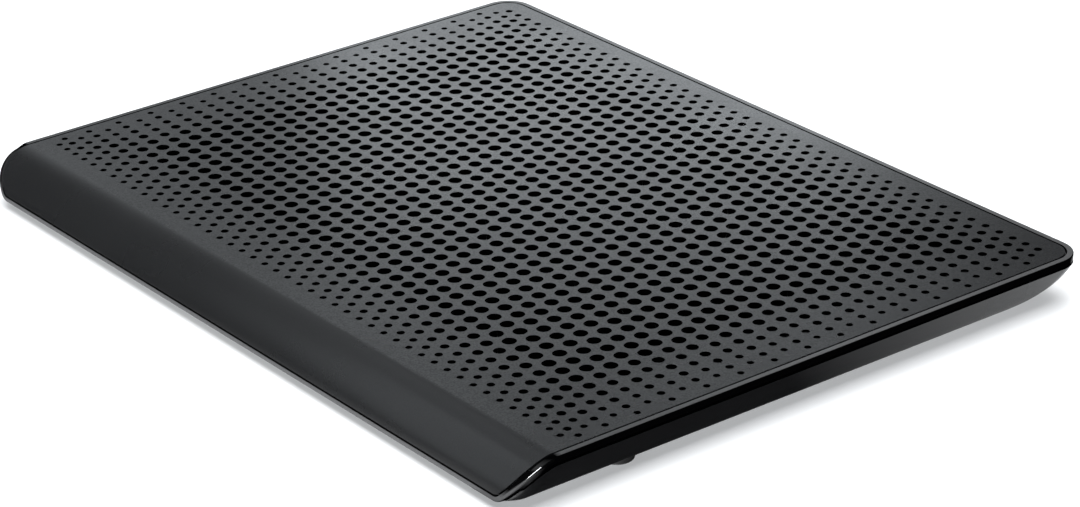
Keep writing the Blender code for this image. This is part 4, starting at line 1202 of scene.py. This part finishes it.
def fan_impeller(side, centre):
    """Hub cup, open below, with seven swept aerofoil blades."""
    low, high = (corner.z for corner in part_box(f"fan_impeller_{side}"))
    inner = HUB_RADIUS - HUB_WALL
    roof = high - HUB_ROOF
    cup = [(inner, low), (HUB_RADIUS, low), (HUB_RADIUS, high), (0, high), (0, roof), (inner, roof)]
    bm = solid(add_lathe, rounded_profile(cup, 0.9 * MM), centre, 72)
    blades = bmesh.new()
    middle_z = (low + high) / 2 - 0.25 * MM
    root = HUB_RADIUS - BLADE_ROOT_SINK
    for i in range(BLADES):
        rings = []
        for step in range(BLADE_STEPS + 1):
            t = step / BLADE_STEPS
            pitch = math.radians(BLADE_LEAN[0] + (BLADE_LEAN[1] - BLADE_LEAN[0]) * t**0.8)
            chord = BLADE_CHORD[0] + (BLADE_CHORD[1] - BLADE_CHORD[0]) * t
            chord *= 1 - BLADE_TIP_NARROWING * t**8
            angle = 2 * math.pi * i / BLADES + BLADE_SWEEP * t**1.4
            radius = root + t * (BLADE_TIP_RADIUS - HUB_RADIUS + BLADE_ROOT_SINK)
            rings.append(blade_ring(centre, radius, angle, pitch, chord, middle_z))
        add_loft(blades, rings)
    bm = combined(bm, ("UNION", blades))
    piece(f"impeller_{side}", bm, "fan_plastic", f"fan_{side}", f"fan_impeller_{side}", sharp=45)


def intake_grille(side, centre):
    """Finger guard in the floor: rounded concentric rings on spokes, and a dished middle."""
    node = f"intake_grille_{side}"
    low, high = (corner.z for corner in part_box(node))
    dish, dish_lip, hub_edge = 5.2 * MM, 5.8 * MM, 8 * MM
    hub = [(0, low + GRILLE_DISH), (dish, low + GRILLE_DISH), (dish_lip, low)]
    hub += [(hub_edge, low), (hub_edge, high), (0, high)]
    bm = solid(add_lathe, rounded_profile(hub, 0.35 * MM), centre, 48)
    spokes, rings = bmesh.new(), bmesh.new()
    for i in range(GRILLE_SPOKES):
        angle = 2 * math.pi * i / GRILLE_SPOKES
        add_strut(spokes, centre, angle, SPOKE_REACH, SPOKE_HALF_WIDTH, low + SINK, high - SINK)
    for middle, half in GRILLE_RINGS:
        section = rectangle((middle - half, low), (middle + half, high))
        add_lathe(rings, rounded_profile(section, 0.4 * MM), centre, 96)
    bm = combined(bm, ("UNION", spokes), ("UNION", rings))
    piece(f"grille_{side}", bm, "shell", "pad", node, bevel=0.15 * MM)


# ------------------------------------------------------------ fasteners and feet


def cross_wing(centre, half, bottom_z, top_z):
    """One of the two tapered wings of a cross recess."""
    flat = rectangle((-half[0], -half[1]), half)
    bottom = [(centre.x + x * CROSS_TAPER[0], centre.y + y * CROSS_TAPER[1], bottom_z) for x, y in flat]
    return solid(add_loft, [bottom, [(centre.x + x, centre.y + y, top_z) for x, y in flat]])


def screw(node, finish, head_up=True):
    """A pan-head screw with a cross recess, in the place of a CAD screw."""
    low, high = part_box(node)
    centre = (low + high) / 2
    radius = (high.x - low.x) / 2
    outward = 1 if head_up else -1
    crown, tip = (high.z, low.z) if head_up else (low.z, high.z)
    seat = crown - outward * SCREW_HEAD_HEIGHT
    shoulder = crown - outward * 0.75 * SCREW_HEAD_HEIGHT
    profile = [(0, tip), (SCREW_RADIUS * 0.5, tip), (SCREW_RADIUS, tip + outward * MM), (SCREW_RADIUS, seat)]
    profile += [(radius, seat), (radius, shoulder)]
    for step in range(1, CROWN_STEPS + 1):
        angle = math.pi / 2 * step / CROWN_STEPS
        height = shoulder + (crown - shoulder) * math.sin(angle)
        profile.append((radius * math.cos(angle) ** 0.6 if step < CROWN_STEPS else 0, height))
    bottom_z, top_z = crown - outward * CROSS_DEPTH, crown + outward * MM
    recess = cross_wing(centre, (CROSS_LENGTH, CROSS_WIDTH), bottom_z, top_z)
    second = cross_wing(centre, (CROSS_WIDTH, CROSS_LENGTH), bottom_z, top_z)
    recess = combined(recess, ("UNION", second))
    bm = combined(solid(add_lathe, profile, centre, 32), ("DIFFERENCE", recess))
    piece(f"{node}_cross", bm, "steel", "pad", node, finish, sharp=40)


def screws():
    for node in CASE_SCREWS:
        screw(node, "steel", head_up=False)
    for side in SIDES:
        screw(f"board_screw_{side}", "black_oxide")
        for end in ("a", "b"):
            screw(f"fan_screw_{side}_{end}", "black_oxide")


def rubber_feet():
    """Turned feet with a rolled edge and two rings moulded in the sole."""
    for foot in FEET:
        node = f"rubber_foot_{foot}"
        low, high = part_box(node)
        radius = (high.x - low.x) / 2
        sole_z = low.z + SOLE_DEPTH
        profile = [(0, sole_z)]
        for inner in SOLE_RINGS:
            outer = inner + SOLE_RING_WIDTH
            profile += [(inner - SOLE_RING_SLOPE, sole_z), (inner, low.z)]
            profile += [(outer, low.z), (outer + SOLE_RING_SLOPE, sole_z)]
        profile.append((radius - 1.5 * MM, low.z + 0.02 * MM))
        for step in range(1, FOOT_ROLL_STEPS + 1):
            angle = math.pi / 2 * step / FOOT_ROLL_STEPS
            across = radius - 1.3 * MM + FOOT_ROLL * math.sin(angle)
            profile.append((across, low.z + FOOT_ROLL * (1 - math.cos(angle))))
        profile += [(radius, UNDERSIDE_Z), (radius, high.z), (0, high.z)]
        bm = solid(add_lathe, profile, centre_of(node), 56)
        piece(f"foot_{foot}", bm, "rubber", "pad", node, sharp=40)


# ------------------------------------------------------------ rear legs


def leg_cuts(low, high, hinge):
    """Ribbed hollow above, grip grooves below, and the clipped corners at the leg's tip."""
    cuts = bmesh.new()
    inset = HOLLOW_INSETS["side"]
    hollow_low = Vector((low.x + inset, low.y + HOLLOW_INSETS["tip"], low.z + LEG_SKIN))
    hollow_high = Vector((high.x - inset, hinge.y - HOLLOW_INSETS["hinge"], high.z + MM))
    cell = (hollow_high.y - hollow_low.y + LEG_RIB) / LEG_CELLS
    for i in range(LEG_CELLS):
        y = hollow_low.y + i * cell
        add_box(cuts, (hollow_low.x, y, hollow_low.z), (hollow_high.x, y + cell - LEG_RIB, hollow_high.z))
    groove_reach = LEG_HALF_WIDTH - GROOVE_INSET
    for i in range(LEG_GROOVES):
        y = low.y + GROOVE_START + i * GROOVE_PITCH
        groove_high = (hinge.x + groove_reach, y + GROOVE_WIDTH, low.z + GROOVE_DEPTH)
        add_box(cuts, (hinge.x - groove_reach, y, low.z - MM), groove_high)
    for side_x in (-1, 1):
        x = hinge.x + side_x * LEG_HALF_WIDTH
        beyond = x + side_x * MM
        corner = [(x - side_x * LEG_CORNER_CUT, low.y - MM), (beyond, low.y - MM)]
        corner.append((beyond, low.y + LEG_CORNER_CUT))
        add_prism(cuts, corner[::side_x], low.z - MM, high.z + MM)
    return cuts


def rear_leg(side):
    """Fold-out leg: plate with a hinge barrel, grip grooves below, a ribbed hollow and a rubber tip."""
    hinge = LEG_HINGES[side]
    body = f"leg_{side}"
    low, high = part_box(f"rear_leg_{side}")
    bm = solid(add_box, low, (high.x, hinge.y, high.z))
    barrel = solid(add_x_cylinder, low.x + SINK, high.x - SINK, hinge, LEG_BARREL_RADIUS, 40)
    bore = solid(add_x_cylinder, low.x - MM, high.x + MM, hinge, PIN_RADIUS + PIN_CLEARANCE)
    bm = combined(bm, ("UNION", barrel), ("DIFFERENCE", leg_cuts(low, high, hinge)), ("DIFFERENCE", bore))
    piece(f"leg_plate_{side}", bm, "shell", body, f"rear_leg_{side}", "leg", bevel=0.35 * MM, segments=3)

    low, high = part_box(f"leg_tip_{side}")
    slots = bmesh.new()
    for i in range(1, TIP_SLOTS + 1):
        x = low.x + (high.x - low.x) / (TIP_SLOTS + 1) * i
        slot_high = (x + TIP_SLOT_HALF_WIDTH, low.y + TIP_SLOT_DEPTH, high.z + MM)
        add_box(slots, (x - TIP_SLOT_HALF_WIDTH, low.y - MM, low.z - MM), slot_high)
    tip = combined(solid(add_box, low, high), ("DIFFERENCE", slots))
    piece(f"leg_pad_{side}", tip, "rubber", body, f"leg_tip_{side}", bevel=0.25 * MM)


# ------------------------------------------------------------ electrics


def power_socket():
    """Socket shell with a flange, open to the rear, with a tongue inside."""
    low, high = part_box("power_socket")
    rim, tongue_inset, wing = 0.6 * MM, 2.2 * MM, 4.5 * MM
    middle = (low.z + high.z) / 2
    mouth_high = (high.x - rim, high.y + MM, high.z - rim)
    mouth = solid(add_box, (low.x + rim, high.y - 8 * MM, low.z + rim), mouth_high)
    tongue_high = (high.x - tongue_inset, high.y - 1.5 * MM, middle + 0.35 * MM)
    tongue = solid(add_box, (low.x + tongue_inset, high.y - 9 * MM, middle - 0.35 * MM), tongue_high)
    flange_high = (high.x + wing, high.y - 0.5 * MM, high.z + 2.4 * MM)
    flange = solid(add_box, (low.x - wing, high.y - 1.1 * MM, low.z), flange_high)
    bm = combined(solid(add_box, low, high), ("UNION", flange), ("DIFFERENCE", mouth), ("UNION", tongue))
    piece("socket", bm, "steel", "pad", "power_socket", bevel=0.15 * MM)


def switch_slider():
    """Slider knob with three grip ribs on the end that shows."""
    low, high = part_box("switch_slider")
    cuts = bmesh.new()
    for sign in (-1, 1):
        x = (low.x + high.x) / 2 + sign * KNOB_CUT_OFFSET
        cut_low = (x - KNOB_CUT_HALF_WIDTH, high.y - KNOB_CUT_DEPTH, low.z - MM)
        add_box(cuts, cut_low, (x + KNOB_CUT_HALF_WIDTH, high.y + MM, high.z + MM))
    bm = combined(solid(add_box, low, high), ("DIFFERENCE", cuts))
    piece("slider_knob", bm, "fan_plastic", "slider", "switch_slider", bevel=0.2 * MM)


def fan_cable(side, centre):
    """A round lead from the fan to the front edge of the board."""
    board_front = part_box("control_board")[0].y
    sign = math.copysign(1, centre.x)
    stops = (
        (centre.x - sign * 20 * MM, centre.y + 41.5 * MM, 8.4 * MM),
        (centre.x - sign * 30 * MM, centre.y + 60 * MM, 6.6 * MM),
        (sign * 32 * MM, board_front - 18 * MM, 6.6 * MM),
        (sign * 16 * MM, board_front - 0.8 * MM, 8.8 * MM),
    )
    curve = bpy.data.curves.new(f"cable_{side}", "CURVE")
    curve.dimensions = "3D"
    curve.resolution_u = 10
    curve.bevel_depth = CABLE_RADIUS
    curve.bevel_resolution = 4
    curve.use_fill_caps = True
    spline = curve.splines.new("BEZIER")
    spline.bezier_points.add(len(stops) - 1)
    for point, stop in zip(spline.bezier_points, stops):
        point.co = stop
        point.handle_left_type = point.handle_right_type = "AUTO"
    guide = bpy.data.objects.new(curve.name, curve)
    bpy.context.scene.collection.objects.link(guide)
    bpy.context.view_layer.update()
    bm = bmesh.new()
    bm.from_mesh(guide.evaluated_get(bpy.context.evaluated_depsgraph_get()).to_mesh())
    bmesh.ops.remove_doubles(bm, verts=bm.verts, dist=1e-6)
    bpy.data.objects.remove(guide, do_unlink=True)
    piece(f"lead_{side}", bm, "cable", "pad", f"fan_cable_{side}")


def carried_over():
    """CAD nodes that are shown as they are: each keeps its mesh and takes a finished material."""
    finishes = {
        "fan_stator": "copper",
        "fan_bearing": "copper",
        "fan_magnet": "magnet",
        "fan_shaft": "steel",
        "leg_pin": "steel",
    }
    shown = {f"{stem}_{side}": slot for stem, slot in finishes.items() for side in SIDES}
    shown["control_board"] = "board"
    shown["switch_body"] = "fan_plastic"
    for node, slot in shown.items():
        obj = frame["nodes"][node]
        obj.data.materials.clear()
        obj.data.materials.append(MATERIALS[slot])


# ------------------------------------------------------------ studio


def placed(side, up, back, place):
    """The matrix that puts a light or camera at a place, with these directions for its own axes."""
    return Matrix.Translation(place) @ Matrix((side, up, back)).transposed().to_4x4()


def area_light(name, place, target, along, size, strength, colour=SOFT_WHITE):
    """A softbox with its long side along a direction, unseen by the camera. strength is its radiance."""
    light = bpy.data.lights.new(name, "AREA")
    light.shape = "RECTANGLE"
    light.size, light.size_y = size
    light.energy = strength * math.pi * size[0] * size[1]
    light.color = colour
    obj = bpy.data.objects.new(name, light)
    back = (Vector(place) - Vector(target)).normalized()
    side = Vector(along)
    side = (side - side.dot(back) * back).normalized()
    obj.matrix_world = placed(side, back.cross(side), back, place)
    obj.visible_camera = False
    bpy.context.scene.collection.objects.link(obj)
    return obj


def link_light(light, state, *pieces):
    """Make a light skip these pieces (EXCLUDE), or light nothing but them (INCLUDE)."""
    receivers = bpy.data.collections.new(f"{light.name} receivers")
    for obj in pieces:
        receivers.objects.link(obj)
    for linked in receivers.collection_objects:
        linked.light_linking.link_state = state
    light.light_linking.receiver_collection = receivers


def floor():
    """Plain pale floor with a painted shadow, near-black, under the pad; seen through from below so that the
    underside can be looked at.
    """
    bm = bmesh.new()
    bmesh.ops.create_grid(bm, x_segments=1, y_segments=1, size=FLOOR_HALF_SIZE)
    obj = object_from(bm, "floor")
    pale = Finish("floor_pale")
    haze = pale.noise(1.3, 3.0)
    colour = pale.blend(haze, (0.84, 0.84, 0.84), (0.87, 0.87, 0.87))
    # Painted shadow: the floor well inside the pad's outline is painted near-black
    under_x = pale.ranged(pale.absolute("place", "X"), WIDTH / 2 - 40 * MM, WIDTH / 2 - 20 * MM, 1.0, 0.0)
    under_y = pale.ranged(pale.absolute("place", "Y"), DEPTH / 2 - 50 * MM, DEPTH / 2 - 30 * MM, 1.0, 0.0)
    pale.set(Base_Color=pale.blend(pale.times(under_x, under_y), colour, PAINTED_SHADE_BLACK))
    pale.set(Roughness=pale.spread(haze, 0.85, 0.95), Specular_IOR_Level=0.0)
    mix = pale.node("MixShader")
    pale.feed(mix.inputs[0], pale.node("NewGeometry").outputs["Backfacing"])
    pale.feed(mix.inputs[1], pale.shader.outputs[0])
    pale.feed(mix.inputs[2], pale.node("BsdfTransparent").outputs[0])
    pale.feed(pale.tree.nodes["Material Output"].inputs["Surface"], mix.outputs[0])
    obj.data.materials.append(pale.material)
    obj.visible_shadow = False
    return obj


def black_card(name, low, high, fade_low, fade_high, right_strength=1.0):
    """A dark card on the floor, seen only in reflections, that fades out between two places along Y: it
    paints dark reflections, standing for shade, into the pad's sides and front.
    """
    bm = bmesh.new()
    bm.faces.new([bm.verts.new((x, y, CARD_Z)) for x, y in rectangle(low, high)])
    obj = object_from(bm, name)
    f = Finish(name)
    f.set(Base_Color=(0.002, 0.002, 0.002), Roughness=1.0, Specular_IOR_Level=0.0)
    fade = f.ranged(f.axis("place", "Y"), fade_low, fade_high, 1.0, 0.0)
    f.set(Alpha=f.times(fade, f.ranged(f.axis("place", "X"), -0.1, 0.12, 1.0, right_strength)))
    obj.data.materials.append(f.material)
    obj.visible_camera = False
    obj.visible_shadow = False
    obj.visible_diffuse = False
    obj.visible_transmission = False


def surroundings():
    """White backdrop for the camera, and a dim even room for everything else."""
    world = bpy.data.worlds.new("studio")
    bpy.context.scene.world = world
    world.use_nodes = True
    tree = world.node_tree
    room = tree.nodes["Background"]
    room.inputs["Color"].default_value = (0.97, 0.99, 1.0, 1)
    room.inputs["Strength"].default_value = ROOM_STRENGTH
    backdrop = tree.nodes.new("ShaderNodeBackground")
    backdrop.inputs["Color"].default_value = (1, 1, 1, 1)
    seen = tree.nodes.new("ShaderNodeLightPath")
    mix = tree.nodes.new("ShaderNodeMixShader")
    tree.links.new(seen.outputs["Is Camera Ray"], mix.inputs[0])
    tree.links.new(room.outputs[0], mix.inputs[1])
    tree.links.new(backdrop.outputs[0], mix.inputs[2])
    tree.links.new(mix.outputs[0], tree.nodes["World Output"].inputs["Surface"])


def pieces_of(*stems):
    """The visible pieces whose names start with one of these stems."""
    return [obj for obj in bpy.data.objects if obj.type == "MESH" and obj.name.startswith(stems)]


def deck_lights(ground, frame_piece):
    """The glow, haze and streaks that the deck, the lip and the bezel show in the photo."""
    glow = area_light("deck_glow", (-0.53, 0.46, 0.25), DECK_SPOT, ACROSS, (0.36, 0.12), 2.25, COOL_WHITE)
    haze = area_light("deck_haze", (-0.65, 0.36, 0.3), DECK_SPOT, ACROSS, (0.85, 0.24), 0.52, COOL_WHITE)
    down_lip, along_lip, over_crease = (0, 0.44, 0.4), (0.1, -0.77, -0.53), (0, -0.9, 0.2)
    lip_place, crease_place = (-0.26, -0.43, 0.297), (-0.27, -0.07, 0.42)
    lip = area_light("lip_glow", lip_place, LIP_SPOT, down_lip, (0.58, 0.18), 0.9, COOL_WHITE)
    streak = area_light("streak", (0.775, -0.567, 0.53), LIP_SPOT, along_lip, (0.75, 0.16), 220.0)
    streak.visible_diffuse = False
    crease = area_light("crease_glow", crease_place, LIP_SPOT, over_crease, (0.3, 0.2), 0.3, COOL_WHITE)
    link_light(crease, "EXCLUDE", ground, frame_piece)
    link_light(glow, "EXCLUDE", ground)
    link_light(haze, "EXCLUDE", ground)
    link_light(lip, "EXCLUDE", ground, frame_piece)
    link_light(streak, "INCLUDE", frame_piece)
    corner = area_light("corner_glow", (-0.19, 0.5, 0.28), CORNER_SPOT, ACROSS, (0.3, 0.2), 0.7)
    link_light(corner, "INCLUDE", frame_piece)


def studio(frame_piece, underside):
    """Floor, backdrop, lights, reflected cards and camera."""
    ground = floor()
    surroundings()
    area_light("key_overhead", (0.2, -0.1, 1.9), ORIGIN, ALONG_X, (2.0, 2.0), 3.6)
    deck_lights(ground, frame_piece)
    below = area_light("from_below", (0, -0.9, -1.2), ORIGIN, ALONG_X, (1.6, 1.0), 9.0)
    link_light(below, "INCLUDE", *underside)
    fill = area_light("floor_fill", (0, 0, 2.0), ORIGIN, ALONG_X, (3.0, 3.0), 2.0)
    fill.data.use_shadow = False
    link_light(fill, "INCLUDE", ground)
    black_card("side_card", (0.17, -0.17), (1.2, 0.2), 0.0, 0.16)
    black_card("front_card", (-1.2, -1.2), (0.5, -0.162), -0.172, -0.162, 0.6)

    camera = bpy.data.objects.new("camera", bpy.data.cameras.new("camera"))
    bpy.context.scene.collection.objects.link(camera)
    camera.matrix_world = placed(*CAMERA_AXES, CAMERA_PLACE)
    camera.data.lens = CAMERA_LENS
    camera.data.sensor_fit = "HORIZONTAL"
    camera.data.sensor_width = 36
    camera.data.shift_x = CAMERA_SHIFT
    bpy.context.scene.camera = camera
    bpy.context.scene.view_settings.view_transform = "Standard"


deck_sheet()
bezel_piece = bezel()
base_shell()
for fan_side, fan_centre in FAN_CENTRES.items():
    fan_housing(fan_side, fan_centre)
    fan_impeller(fan_side, fan_centre)
    intake_grille(fan_side, fan_centre)
    fan_cable(fan_side, fan_centre)
    rear_leg(fan_side)
screws()
rubber_feet()
power_socket()
switch_slider()
carried_over()
studio(bezel_piece, pieces_of("shell", "grille", "foot", "leg", "case_screw", "rubber"))
